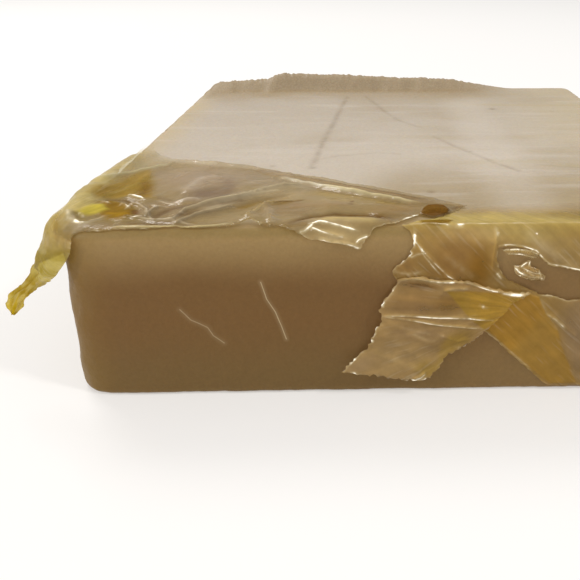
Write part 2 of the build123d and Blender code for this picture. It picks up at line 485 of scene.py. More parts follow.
def build_rosin():
    ix, iy = HX - R_TOP, HY - R_TOP
    xs = np.linspace(-ix, ix, 341)
    ys = np.concatenate([np.linspace(-iy, 24.6, 251), np.linspace(24.6, iy, 31)[1:]])
    X, Y = np.meshgrid(xs, ys, indexing="ij")
    r = np.where(X < 0, R_LEFT, R_RIGHT) - R_TOP
    a, b = np.abs(X) - (ix - r), np.abs(Y) - (iy - r)
    corner = (a > 0) & (b > 0)
    f = np.where(corner, np.maximum(a, b) / np.maximum(np.hypot(a, b), 1e-9), 1)
    PX = np.where(corner, np.sign(X) * (ix - r + a * f), X)
    PY = np.where(corner, np.sign(Y) * (iy - r + b * f), Y)
    nx_, ny_ = len(xs), len(ys)
    idx = np.arange(nx_ * ny_).reshape(nx_, ny_)
    ring = [(i, 0) for i in range(nx_ - 1)] + [(nx_ - 1, j) for j in range(ny_ - 1)]
    ring += [(i, ny_ - 1) for i in range(nx_ - 1, 0, -1)] + [(0, j) for j in range(ny_ - 1, 0, -1)]
    ri = np.array([i for i, _ in ring]); rj = np.array([j for _, j in ring])
    B = np.stack([PX[ri, rj], PY[ri, rj]], 1)
    aa, bb = a[ri, rj], b[ri, rj]
    N = np.zeros_like(B)
    cor = (aa > 1e-9) & (bb > 1e-9)
    L = np.maximum(np.hypot(aa, bb), 1e-9)
    N[:, 0] = np.where(cor, np.sign(B[:, 0]) * aa / L, np.where(np.abs(np.abs(B[:, 0]) - ix) < 1e-6, np.sign(B[:, 0]), 0))
    N[:, 1] = np.where(cor, np.sign(B[:, 1]) * bb / L, np.where(np.abs(np.abs(B[:, 1]) - iy) < 1e-6, np.sign(B[:, 1]), 0))
    N /= np.maximum(np.hypot(N[:, 0], N[:, 1]), 1e-9)[:, None]
    levels = []
    for k in range(1, 7):
        t = math.pi / 2 * k / 6
        levels.append((R_TOP * (1 - math.sin(t)), H - R_TOP * (1 - math.cos(t))))
    for z in np.linspace(H - R_TOP, R_BASE, 33)[1:]:
        levels.append((0.0, z))
    for k in range(1, 8):
        t = math.pi / 2 * k / 7
        levels.append((R_BASE * (1 - math.cos(t)), R_BASE * (1 - math.sin(t))))
    co = [np.stack([PX.ravel(), PY.ravel(), np.full(PX.size, H)], 1)]
    nr = [np.tile([0.0, 0.0, 1.0], (PX.size, 1))]
    for d, z in levels:
        co.append(np.concatenate([B + N * (R_TOP - d), np.full((len(B), 1), z)], 1))
        nr.append(np.concatenate([N, np.zeros((len(N), 1))], 1))
    co, nr = np.concatenate(co), np.concatenate(nr)
    K = len(ring)
    faces = []
    for i in range(nx_ - 1):
        for j in range(ny_ - 1):
            faces.append((idx[i, j], idx[i + 1, j], idx[i + 1, j + 1], idx[i, j + 1]))
    prev = np.array([idx[i, j] for i, j in ring])
    base = PX.size
    for m in range(len(levels)):
        cur = base + m * K + np.arange(K)
        for k in range(K):
            q = (k + 1) % K
            faces.append((prev[k], cur[k], cur[q], prev[q]))
        prev = cur
    faces.append(tuple(int(v) for v in prev[::-1]))
    faces = [tuple(int(v) for v in f) for f in faces]

    x, y, z = co[:, 0].copy(), co[:, 1].copy(), co[:, 2].copy()
    # rough skin, calmer on the poured face
    side = 1 - np.abs(nr[:, 2])
    rough = 0.05 * fbm3(co * 0.55, 3, 3) + 0.022 * noise3(co * 2.6, 9)
    chips = np.clip(noise3(co * 0.9, 21) - 0.35, 0, 1)
    edge = np.exp(-np.abs(z - (H - 0.25)) / 0.5) * side
    # the left-hand corner was cast rougher
    knobs = 0.11 * noise3(co * 0.42, 23) * step(-21.5, -24.2, x) * step(-24.0, -27.5, y) * step(0.4, 2.0, z)
    co += nr * (side * (rough + knobs - 0.16 * edge * chips * 1.6))[:, None]
    onbase = z < 0.02
    topw = (nr[:, 2] > 0.5).astype(float)
    wave = 0.05 * fbm2(x * 0.09, y * 0.09, 31, 2) + 0.016 * fbm2(x * 1.3, y * 1.3, 35, 3)
    P = np.stack([x, y], 1)
    mark = np.zeros(len(co))
    for line, amt, wid in TOP_MARKS:
        d, t, _ = near(P, line)
        wob = 0.78 + 0.3 * noise2(x * 0.7, y * 0.7, 41) + 0.2 * noise2(x * 3.1, y * 3.1, 43)
        mark = np.maximum(mark, topw * amt * np.clip(wob, 0.1, 1) * np.exp(-((d / wid) ** 2)))
    for cx, cy, rad, amt in TOP_SPECKS:
        d = np.hypot(x - cx, (y - cy) * 0.8)
        mark = np.maximum(mark, topw * amt * np.exp(-((d / rad) ** 2)))
    co[:, 2] += topw * (wave - 0.05 * mark)
    # the lip climbs the back wall
    up = np.interp(x, LIP[:, 0], LIP[:, 1])
    tooth = 0.07 * noise2(x * 2.2, y * 0 + 3.3, 51) + 0.08 * noise2(x * 5.6, y * 0 + 1.1, 53)
    crest = step(24.9, 27.7, y + 0.25 * noise2(x * 0.7, y * 0.2, 57)) * step(H - 1.4, H - 0.1, z)
    inner = np.exp(-((y - 27.6) / 0.9) ** 2)
    body = 0.06 * fbm2(x * 1.1, y * 1.1, 61, 3)
    co[:, 2] += np.where(z > H - 1.5, crest * np.clip(up + (tooth * step(26.7, 27.6, y) + body) * np.clip(up, 0, 1) * (0.6 + 0.4 * inner), 0, 9), 0)
    co[onbase, 2] = 0.0
    co[:, 2] = np.maximum(co[:, 2], 0.0)
    lipw = step(17.5, 26.0, y + 1.2 * noise2(x * 0.25, y * 0.25, 59)) * step(H - 1.4, H - 0.1, z) * np.clip(up / 0.8, 0, 1)
    return make_object("rosin_body", co, faces, {"mark": mark, "lip": lipw})


# ---------------------------------------------------------------- materials
class Nodes:
    def __init__(self, name):
        self.mat = bpy.data.materials.new(name)
        self.mat.use_nodes = True
        self.t = self.mat.node_tree
        self.t.nodes.clear()

    def new(self, kind, **kw):
        n = self.t.nodes.new(kind)
        for k, v in kw.items():
            if k.startswith("_"):
                n.inputs[k[1:]].default_value = v
            else:
                setattr(n, k, v)
        return n

    def link(self, a, b):
        self.t.links.new(a, b)

    def put(self, sock, v):
        if isinstance(v, bpy.types.NodeSocket):
            self.link(v, sock)
        else:
            sock.default_value = v

    def math(self, op, a, b=0.0, clamp=False):
        n = self.new("ShaderNodeMath", operation=op, use_clamp=clamp)
        self.put(n.inputs[0], a)
        self.put(n.inputs[1], b)
        return n.outputs[0]

    def ramp(self, v, a, b):
        n = self.new("ShaderNodeMapRange", interpolation_type="SMOOTHSTEP")
        self.put(n.inputs["Value"], v)
        n.inputs["From Min"].default_value = a
        n.inputs["From Max"].default_value = b
        return n.outputs[0]

    def mix(self, f, a, b):
        n = self.new("ShaderNodeMix", data_type="RGBA")
        self.put(n.inputs[0], f)
        self.put(n.inputs[6], a)
        self.put(n.inputs[7], b)
        return n.outputs[2]

    def attr(self, name):
        return self.new("ShaderNodeAttribute", attribute_name=name)

    def noise(self, vec, scale, detail=2.0, rough=0.5):
        n = self.new("ShaderNodeTexNoise")
        self.link(vec, n.inputs["Vector"])
        n.inputs["Scale"].default_value = scale
        n.inputs["Detail"].default_value = detail
        n.inputs["Roughness"].default_value = rough
        return n.outputs["Fac"]


# Bright cracks inside the front face, (x, z).
CRACKS = [
    ([(-16.45, 7.05), (-15.75, 6.2), (-14.6, 5.55), (-14.25, 4.9), (-13.5, 4.3)], 0.36, 0.045),
    ([(-10.55, 9.1), (-10.2, 7.75), (-9.65, 6.75), (-9.3, 5.75), (-8.95, 4.55)], 0.6, 0.036),
]


def seg_distance(n, px, pz, a, b):
    (ax, az), (bx, bz) = a, b
    dx, dz = bx - ax, bz - az
    L2 = dx * dx + dz * dz
    rx, rz = n.math("SUBTRACT", px, ax), n.math("SUBTRACT", pz, az)
    dot = n.math("ADD", n.math("MULTIPLY", rx, dx / L2), n.math("MULTIPLY", rz, dz / L2))
    t = n.math("MINIMUM", n.math("MAXIMUM", dot, 0.0), 1.0)
    ex = n.math("SUBTRACT", rx, n.math("MULTIPLY", t, dx))
    ez = n.math("SUBTRACT", rz, n.math("MULTIPLY", t, dz))
    return n.math("SQRT", n.math("ADD", n.math("MULTIPLY", ex, ex), n.math("MULTIPLY", ez, ez)))


def rosin_material():
    n = Nodes("rosin")
    tc = n.new("ShaderNodeTexCoord")
    mm = n.new("ShaderNodeVectorMath", operation="SCALE")
    n.link(tc.outputs["Object"], mm.inputs[0])
    mm.inputs["Scale"].default_value = 1000.0
    sep = n.new("ShaderNodeSeparateXYZ")
    n.link(mm.outputs[0], sep.inputs[0])
    x, y, z = sep.outputs
    nsep = n.new("ShaderNodeSeparateXYZ")
    geo = n.new("ShaderNodeNewGeometry")
    n.link(geo.outputs["Normal"], nsep.inputs[0])
    up = n.ramp(nsep.outputs["Z"], 0.80, 0.99)
    cloud = n.noise(mm.outputs[0], 0.10, 3.0)
    grain = n.noise(mm.outputs[0], 4.5, 3.0, 0.6)
    wob = n.math("MULTIPLY", n.math("SUBTRACT", cloud, 0.5), 2.4)

    # sides: lighter, greener band under the poured edge, brown middle, and a paler foot that is painted bounce light
    # from the floor
    zz = n.math("ADD", z, wob)
    side = n.mix(n.ramp(zz, 8.4, 12.6), lin(119, 88, 50), lin(158, 131, 86))
    side = n.mix(n.ramp(zz, 6.4, 1.0), side, lin(117, 92, 54))
    side = n.mix(n.math("MULTIPLY", n.ramp(z, 0.7, 0.1), 0.5), side, lin(128, 104, 62))
    right = n.ramp(n.math("ADD", x, n.math("MULTIPLY", z, -0.7)), -6.0, 9.0)
    side = n.mix(n.math("MULTIPLY", right, 0.5), side, lin(144, 117, 76))
    left = n.ramp(n.math("ADD", x, wob), -20.5, -25.2)
    side = n.mix(n.math("MULTIPLY", left, 0.65), side, lin(132, 104, 48))

    # poured face: pale grey, partly its dusty skin and partly painted reflection of the white surroundings, warmer and
    # thinner-looking towards the edges
    top = n.mix(n.ramp(y, -18.0, 22.0), lin(196, 184, 168), lin(182, 170, 154))
    top = n.mix(n.math("MULTIPLY", n.ramp(x, 8.0, 24.0), 0.6), top, lin(192, 176, 143))
    top = n.mix(n.ramp(n.math("ADD", x, wob), -20.5, -24.8), top, lin(192, 174, 142))
    top = n.mix(n.math("MULTIPLY", n.ramp(y, -9.0, -24.0), n.ramp(x, -6.0, 1.0)), top, lin(156, 134, 94))
    top = n.mix(n.math("MULTIPLY", n.math("SUBTRACT", cloud, 0.35), 0.55, True), top, lin(176, 160, 138))
    drift = n.noise(mm.outputs[0], 0.055, 3.0, 0.6)
    stretch = n.new("ShaderNodeVectorMath", operation="MULTIPLY")
    n.link(mm.outputs[0], stretch.inputs[0])
    stretch.inputs[1].default_value = (0.05, 0.35, 0.0)
    bands = n.noise(stretch.outputs[0], 1.0, 3.0, 0.6)
    top = n.mix(n.math("MULTIPLY", n.ramp(drift, 0.44, 0.64), 0.50), top, lin(172, 157, 134))
    top = n.mix(n.math("MULTIPLY", n.math("MULTIPLY", n.ramp(bands, 0.50, 0.68), n.ramp(x, -6.0, 10.0)), 0.40), top, lin(180, 162, 124))
    column = n.math("MULTIPLY", n.ramp(x, 5.0, 8.5), n.ramp(x, 13.0, 9.5))
    top = n.mix(n.math("MULTIPLY", column, 0.35), top, lin(208, 197, 182))
    top = n.mix(n.math("MULTIPLY", n.ramp(bands, 0.46, 0.34), 0.25), top, lin(206, 196, 184))
    top = n.mix(n.math("MULTIPLY", n.attr("mark").outputs["Fac"], 0.55), top, lin(118, 96, 72))
    # darker olive towards the front edge of the poured face: painted shade where it rounds over
    top = n.mix(n.math("MULTIPLY", n.ramp(y, -26.6, -28.2), 0.9), top, lin(150, 124, 78))
    lipc = n.mix(grain, lin(150, 132, 104), lin(176, 158, 132))
    top = n.mix(n.attr("lip").outputs["Fac"], top, lipc)
    col = n.mix(up, side, top)
    back = n.math("MULTIPLY", n.ramp(z, H - 0.2, H + 0.5), 1.0)
    col = n.mix(back, col, n.mix(up, lipc, top))

    # darker olive on the rounded top front edge: painted shade, holding back the light it catches
    rim = n.math("MULTIPLY", n.ramp(nsep.outputs["Z"], 0.15, 0.7), n.ramp(nsep.outputs["Z"], 0.995, 0.93))
    rim = n.math("MULTIPLY", n.math("MULTIPLY", rim, n.ramp(nsep.outputs["Y"], 0.0, -0.3)), n.ramp(y, -25.0, -27.0))
    col = n.mix(rim, col, lin(146, 122, 76))
    # grain
    g = n.math("MULTIPLY", n.math("SUBTRACT", grain, 0.5), 0.26)
    hsv = n.new("ShaderNodeHueSaturation")
    n.link(col, hsv.inputs["Color"])
    n.link(n.math("ADD", g, 1.0), hsv.inputs["Value"])
    col = hsv.outputs["Color"]

    # cracks, only on the front face
    front = n.ramp(nsep.outputs["Y"], -0.6, -0.95)
    total = None
    for line, amt, wid in CRACKS:
        d = None
        for a, b in zip(line[:-1], line[1:]):
            s = seg_distance(n, x, z, a, b)
            d = s if d is None else n.math("MINIMUM", d, s)
        core = n.math("MULTIPLY", n.ramp(d, wid * 1.5, wid * 0.3), amt)
        halo = n.math("MULTIPLY", n.ramp(d, wid * 9, 0.0), 0.2 * amt)
        both = n.math("MAXIMUM", core, halo)
        total = both if total is None else n.math("MAXIMUM", total, both)
    crack = n.math("MULTIPLY", total, front)
    col = n.mix(n.math("MULTIPLY", crack, 0.8), col, lin(226, 208, 168))

    bump = n.new("ShaderNodeBump")
    bump.inputs["Strength"].default_value = 0.25
    bump.inputs["Distance"].default_value = 0.0002
    n.link(n.math("ADD", n.noise(mm.outputs[0], 1.6, 4.0, 0.6), n.math("MULTIPLY", grain, 0.5)), bump.inputs["Height"])

    p = n.new("ShaderNodeBsdfPrincipled")
    n.link(col, p.inputs["Base Color"])
    n.link(n.mix(up, (0.42, 0.42, 0.42, 1), (0.62, 0.62, 0.62, 1)), p.inputs["Roughness"])
    p.inputs["IOR"].default_value = 1.53
    p.inputs["Specular IOR Level"].default_value = 0.12
    p.inputs["Subsurface Weight"].default_value = 0.12
    p.inputs["Subsurface Radius"].default_value = (1.0, 0.55, 0.22)
    p.inputs["Subsurface Scale"].default_value = 0.002
    n.link(bump.outputs[0], p.inputs["Normal"])
    out = n.new("ShaderNodeOutputMaterial")
    n.link(p.outputs[0], out.inputs["Surface"])
    return n.mat


def film_material():
    """A clear, yellowed, slightly hazy sheet: 'film' is the haze's colour and share, 'pass' what it lets through."""
    n = Nodes("film")
    geo = n.new("ShaderNodeNewGeometry")
    tc = n.new("ShaderNodeTexCoord")
    mm = n.new("ShaderNodeVectorMath", operation="SCALE")
    n.link(tc.outputs["Object"], mm.inputs[0])
    mm.inputs["Scale"].default_value = 1000.0
    film, passes = n.attr("film"), n.attr("pass")
    along = n.attr("grain").outputs["Vector"]
    broad = n.noise(along, 0.8, 2.0)
    fine = n.noise(along, 2.2, 1.0, 0.5)
    mottle = n.noise(mm.outputs[0], 0.9, 3.0, 0.6)
    tone = n.math("ADD", n.math("MULTIPLY", n.math("SUBTRACT", broad, 0.5), 0.9),
                  n.math("MULTIPLY", n.math("SUBTRACT", mottle, 0.5), 0.7))
    # pale streaks along the grain: thicker haze of the film, partly a painted reflection
    streak = n.math("MULTIPLY", n.ramp(fine, 0.52, 0.74), n.ramp(n.noise(mm.outputs[0], 0.35, 2.0), 0.40, 0.58))
    share = n.math("MULTIPLY", film.outputs["Alpha"], n.math("ADD", n.math("MULTIPLY", n.math("ADD", tone, n.math("MULTIPLY", streak, 0.5)), 0.42), 1.0), True)
    hsv = n.new("ShaderNodeHueSaturation")
    n.link(film.outputs["Color"], hsv.inputs["Color"])
    n.link(n.math("ADD", n.math("MULTIPLY", tone, 0.42), 1.0), hsv.inputs["Value"])

    bump = n.new("ShaderNodeBump")
    bump.inputs["Strength"].default_value = 0.6
    bump.inputs["Distance"].default_value = 0.00012
    n.link(n.math("ADD", n.math("MULTIPLY", broad, 0.7), n.math("ADD", fine, n.math("MULTIPLY", mottle, 0.5))), bump.inputs["Height"])

    clear = n.new("ShaderNodeBsdfTransparent")
    n.link(passes.outputs["Color"], clear.inputs["Color"])
    diff = n.new("ShaderNodeBsdfDiffuse")
    tran = n.new("ShaderNodeBsdfTranslucent")
    pale = n.mix(n.math("MULTIPLY", streak, 0.30), hsv.outputs["Color"], (0.60, 0.52, 0.36, 1))
    for s in (diff, tran):
        n.link(pale, s.inputs["Color"])
        n.link(bump.outputs[0], s.inputs["Normal"])
    haze = n.new("ShaderNodeMixShader")
    haze.inputs[0].default_value = 0.35
    n.link(diff.outputs[0], haze.inputs[1])
    n.link(tran.outputs[0], haze.inputs[2])
    body = n.new("ShaderNodeMixShader")
    n.link(share, body.inputs[0])
    n.link(clear.outputs[0], body.inputs[1])
    n.link(haze.outputs[0], body.inputs[2])

    gloss = n.new("ShaderNodeBsdfGlossy")
    gloss.inputs["Roughness"].default_value = 0.14
    n.link(bump.outputs[0], gloss.inputs["Normal"])
    fres = n.new("ShaderNodeFresnel")
    fres.inputs["IOR"].default_value = 1.5
    n.link(bump.outputs[0], fres.inputs["Normal"])
    shine = n.new("ShaderNodeMixShader")
    n.link(n.math("MULTIPLY", n.math("MULTIPLY", fres.outputs[0], 0.55, True), passes.outputs["Alpha"]), shine.inputs[0])
    n.link(body.outputs[0], shine.inputs[1])
    n.link(gloss.outputs[0], shine.inputs[2])

    # creases: stress-whitened film plus painted glints that glow, straw-coloured where faint, near white where sharp
    crease = n.attr("crease").outputs["Fac"]
    amount = crease
    straw = n.mix(n.ramp(crease, 0.25, 0.8), (0.74, 0.60, 0.32, 1), (1.0, 0.95, 0.78, 1))
    white = n.new("ShaderNodeBsdfPrincipled")
    n.link(straw, white.inputs["Base Color"])
    white.inputs["Roughness"].default_value = 0.3
    n.link(straw, white.inputs["Emission Color"])
    n.link(n.math("MULTIPLY", n.ramp(crease, 0.4, 0.95), 0.55), white.inputs["Emission Strength"])
    creased = n.new("ShaderNodeMixShader")
    n.link(amount, creased.inputs[0])
    n.link(shine.outputs[0], creased.inputs[1])
    n.link(white.outputs[0], creased.inputs[2])

    inner = n.new("ShaderNodeBsdfTransparent")
    last = n.new("ShaderNodeMixShader")
    n.link(geo.outputs["Backfacing"], last.inputs[0])
    n.link(creased.outputs[0], last.inputs[1])
    n.link(inner.outputs[0], last.inputs[2])
    out = n.new("ShaderNodeOutputMaterial")
    n.link(last.outputs[0], out.inputs["Surface"])
    return n.mat


ROSIN, FILM = rosin_material(), film_material()

rosin = build_rosin()
rosin.data.materials.append(ROSIN)
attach(rosin, "cake")
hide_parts("rosin_cake")


# ================================================================= films
def sheet(name, outline, base, ridges=(), bumps=(), marks=(), pools=(), patches=(), gap=0.3, lift=0.14, holes=(), jag=0.05,
          seed=0, wrinkle=0.05, rim=0.0, rim_of=None, thick=0.03, extra=None, grain=("line", 0), fade=None, shade=0.9, strokes=()):
    """One sheet of film laid over the block's skin.

    ridges, bumps and patches (closed outlines of doubled film) are raised in the
    mesh; marks are bright creases drawn as painted, glowing glints; rim is a painted
    glint along the torn edge; strokes are painted light and shade on the folds.
    """
    ring = walk(outline, 0.2, True, jag, seed)
    hs = [walk(h, 0.18, True, jag, seed + 9) for h in holes]
    crisp = [r[0] for r in ridges if r[2] < 0.3] + [m[0] for m in marks if m[2] < 0.13]
    crisp += [list(p[0]) + [p[0][0]] for p in patches if p[3] < 0.25]
    crisp += [k[0] for k in strokes if k[2] < 0.2]
    P, tri = triangulate(ring, hs, crisp, gap, seed)
    h = relief(P, ridges, bumps)
    x, y = P[:, 0], P[:, 1]
    g = grain_of(P, grain)
    h = h + wrinkle * fbm2(x * 0.55, y * 0.55, seed + 3, 4) + wrinkle * 0.35 * (1 - 2 * np.abs(noise2(x * 1.1, y * 1.1, seed + 8)))
    h = h + wrinkle * 0.9 * noise2(g[:, 0] * 2.2, g[:, 1] * 0.7, seed + 6)
    for outline_, up, _, soft, _ in patches:
        h = h + up * patch_share(P, outline_, soft)
    for line, col, wid, amt in strokes:
        # each painted light or dark line also gets a real pleat: raised under the painted light, sunk under the painted
        # shade
        d, t, _ = near(P, line)
        way = 1.0 if sum(col[:3]) > sum(base[:3]) else -0.7
        h = h + way * 0.10 * amt * np.clip(np.minimum(t, 1 - t) * 6 + 0.1, 0, 1) * np.exp(-((d / (0.8 * wid + 0.06)) ** 2))
    if extra is not None:
        h = h + extra(P)
    h = lift + np.maximum(h, -0.07)
    crease = whitening_and_glints(P, marks, seed)
    if rim:
        d = near(P, rim_of if rim_of is not None else list(ring) + [ring[0]])[0]
        for hole_ in hs:
            d = np.minimum(d, near(P, list(hole_) + [hole_[0]])[0])
        sp = np.clip(0.16 + 1.1 * noise2(x * 1.3, y * 1.3, seed + 5) + 1.0 * noise2(x * 4.4, y * 4.4, seed + 4), 0, 1.1)
        crease = np.clip(np.maximum(crease, rim * sp * np.exp(-((d / 0.075) ** 2))), 0, 1)
    c = stroke(P, tint_and_shade(P, base, pools, patches), strokes)
    dull = sheen(c)
    flat = skin(P, np.full(len(P), lift))
    # painted light and shade: slopes facing up-left are lightened, the others darkened, baked into the film's colour
    turn = (normals(skin(P, h), tri) - normals(flat, tri)) @ np.array([-0.45, 0.35, 0.6])
    turn = np.clip(turn * shade, -0.45, 0.45)
    c[:, :3] *= (1 + 0.9 * turn)[:, None]
    c[:, 3] = np.clip(c[:, 3] * (1 + 0.35 * np.abs(turn)), 0, 0.95)
    c[:, 4:] *= (1 + 0.35 * np.minimum(turn, 0))[:, None]
    c = np.clip(c, 0, 1)
    if fade is not None:
        c[:, 3] *= fade(P)
        c[:, 4:] = 1 - (1 - c[:, 4:]) * fade(P)[:, None]
        dull = dull * fade(P)[:, None]
    return shell(name, skin(P, h), tri, {"film": c[:, :4], "pass": np.concatenate([c[:, 4:], dull], 1), "crease": crease, "grain": g}, thick)


def finish_film(ob, body=None):
    ob.data.materials.append(FILM)
    if body:
        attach(ob, body)
    return ob


# ---- corner piece ----------------------------------------------------------
corner_back = [(4.6, -24.15), (4.29, -24.2), (1.18, -21.64), (-0.34, -20.55), (-2.80, -18.97), (-6.91, -16.37), (-10.47, -14.38), (-11.6, -13.8), (-13.4, -12.6), (-16.2, -11.7),
               (-18.4, -10.9), (-20.4, -9.9), (-22.2, -8.4), (-23.4, -6.0), (-23.9, -3.4)]
corner_left = [LS(-3.0, 12.9), LS(-5.6, 12.6), LS(-9.5, 12.4), LS(-14.0, 11.6), LS(-18.2, 11.1), LS(-21.0, 10.4),
               LS(-24.0, 10.6), LC(0, 11.0), LC(20, 11.3), LC(44, 11.9), LC(62, 12.4), LC(72, 12.75)]
corner_front = [F(-21.6, 12.84), F(-20.4, 12.9), F(-18.6, 12.9), F(-16.4, 12.96), (-14.6, -28.5), (-12.3, -28.35),
                (-11.7, -28.0), (-11.2, -27.75), (-10.8, -28.0), (-10.4, -28.4), F(-9.9, 12.94), F(-9.4, 12.96), F(-8.6, 12.9),
                F(-7.9, 12.7), F(-7.3, 12.45), F(-6.8, 12.28), F(-5.75, 12.2), F(-4.6, 12.0), F(-4.0, 11.75),
                F(-3.4, 11.62), F(-3.15, 12.1), F(-2.85, 12.42), F(-2.5, 12.8), (-1.6, -28.35), (-0.95, -28.2),
                (-0.3, -27.5), (0.35, -26.9), (0.85, -26.3)]
corner_tip = [(1.5, -26.75), (2.2, -26.85), (2.9, -26.35), (3.5, -25.6)]
corner_outline = corner_back + corner_left + corner_front + corner_tip

band_ring = [(-13.4, -12.75), (-11.2, -14.15), (-7.6, -16.75), (-3.8, -19.35), (0.3, -22.15), (4.3, -24.35), (1.2, -24.2), (-1.2, -23.1),
             (-3.1, -21.8), (-5.6, -20.6), (-7.4, -19.5), (-9.3, -17.8), (-11.9, -15.2)]
pool_a = [(-24.1, -22.3), (-24.2, -20.8), (-23.6, -19.7), (-23.0, -18.0), (-22.7, -16.4), (-22.2, -15.2), (-21.4, -14.6), (-20.8, -16.4), (-20.3, -18.4), (-19.8, -20.4),
          (-19.4, -22.2), (-20.3, -22.3), (-21.5, -21.9), (-22.4, -22.4), (-23.3, -22.6)]
pool_b = [(-23.0, -23.6), (-22.3, -22.9), (-20.9, -23.4), (-20.1, -24.6), (-19.7, -26.2), (-20.3, -27.1), (-21.5, -27.1), (-22.4, -26.0)]
crescent = [(-23.75, -26.4), (-23.6, -25.25), (-23.3, -24.3), (-22.6, -24.1), (-21.9, -25.0), (-22.35, -26.0), (-22.95, -26.4)]
disc = [(1.15, -25.5), (1.6, -24.75), (2.2, -24.5), (2.8, -24.9), (3.1, -25.6), (2.95, -26.25), (2.2, -26.8), (1.4, -26.7), (0.95, -26.3)]

corner_ridges = [
    # the sheet's pale shoulder, from the corner up and round to the band
    ([(-24.4, -18.3), (-23.0, -16.2), (-21.5, -14.1), (-20.2, -11.9), (-18.6, -11.3), (-15.6, -12.4), (-12.6, -14.2)], 0.26, 0.6),
    # pleats that fan from the gathered corner
    ([(-18.3, -27.2), (-16.7, -27.5), (-16.2, -25.7), (-14.9, -24.3), (-12.8, -22.9), (-10.9, -20.9), (-9.5, -19.5), (-7.6, -18.7)], 0.34, 0.34),
    ([(-18.8, -26.75), (-18.65, -25.39), (-18.34, -24.58), (-17.84, -24.83)], 0.22, 0.2),
    ([(-20.9, -23.7), (-20.0, -23.9), (-18.9, -25.4)], 0.20, 0.18),
    ([(-16.5, -28.2), (-15.3, -26.4), (-14.0, -25.5), (-12.7, -24.4)], 0.26, 0.26),
    ([(-17.1, -21.7), (-16.9, -20.4), (-16.3, -17.7), (-15.5, -17.0), (-14.7, -17.4)], 0.16, 0.7),
    ([(-17.1, -23.8), (-16.5, -23.3), (-15.7, -23.3)], 0.22, 0.4),
    ([(-11.7, -27.5), (-11.1, -26.0), (-10.5, -24.2), (-9.5, -23.8), (-8.3, -23.5)], 0.30, 0.36),
    ([(-10.5, -24.2), (-10.0, -26.6), (-9.7, -28.3)], 0.24, 0.30),
    ([(-7.6, -18.7), (-6.75, -19.26), (-2.8, -21.73), (-0.43, -23.04), (1.04, -23.94), (1.7, -24.6)], 0.12, 0.18),
    ([(-12.0, -14.2), (-9.5, -16.2), (-6.8, -17.8), (-3.5, -19.9), (-0.4, -21.9), (2.0, -23.5)], 0.14, 0.3),
    ([(-8.0, -27.7), (-6.9, -26.6), (-5.2, -26.0), (-3.0, -26.3), (-1.2, -27.4)], -0.16, 0.24),
    # glossy folds that hang over the front edge
    ([F(-6.9, 12.98), F(-6.2, 12.99), F(-5.3, 12.92), F(-4.4, 12.82), F(-3.7, 12.74)], 0.20, 0.10),
    ([F(-6.9, 12.86), F(-6.1, 12.68), F(-5.2, 12.5), F(-4.5, 12.4)], 0.18, 0.10),
    ([F(-6.3, 12.3), F(-5.4, 12.16), F(-4.4, 12.06), F(-3.6, 11.8)], 0.18, 0.10),
    # small wet-looking loops in the gathered corner
    ([(-21.5, -21.6), (-20.8, -21.9), (-20.0, -22.4)], 0.20, 0.12),
    ([(-23.6, -23.9), (-23.0, -23.4), (-22.6, -23.5), (-22.1, -23.9)], 0.10, 0.2),
    ([(-24.4, -25.7), (-23.9, -27.1), (-23.1, -27.9), (-22.5, -27.7), (-22.0, -27.0), (-21.9, -26.6)], 0.10, 0.32),
    ([(-21.4, -24.1), (-21.3, -23.7), (-20.9, -24.2), (-20.5, -24.9), (-20.5, -24.2)], 0.20, 0.12),
    ([(-20.4, -26.5), (-19.6, -26.8), (-18.8, -26.6)], 0.16, 0.13),
]
corner_bumps = [
    # it stands off the block along the left edge
    (-24.9, -21.0, 1.8, 6.0, 0, 0.80), (-25.0, -26.2, 2.4, 2.6, 0, 0.12), (-24.9, -12.5, 1.4, 5.0, 0, 0.42),
    (-15.5, -21.3, 1.7, 1.7, 0, -0.26), (-14.9, -21.2, 3.6, 3.2, 20, 0.44), (-18.6, -17.0, 3.0, 3.4, 0, 0.30),
    (-12.0, -18.0, 3.0, 2.2, -35, 0.22), (-6.5, -24.6, 3.6, 1.8, 5, 0.26), (-1.5, -25.2, 2.2, 1.3, -8, 0.20),
    (-11.0, -27.4, 1.0, 0.9, 0, 0.34), (-4.6, -27.8, 2.6, 0.8, 0, 0.22), (2.2, -25.4, 1.3, 0.9, 0, 0.16),
]
# the painted light and the painted shade laid along the corner's folds
LIT_TAN, SHADE = vivid(200, 182, 148, 0.5), vivid(140, 114, 80, 0.5)
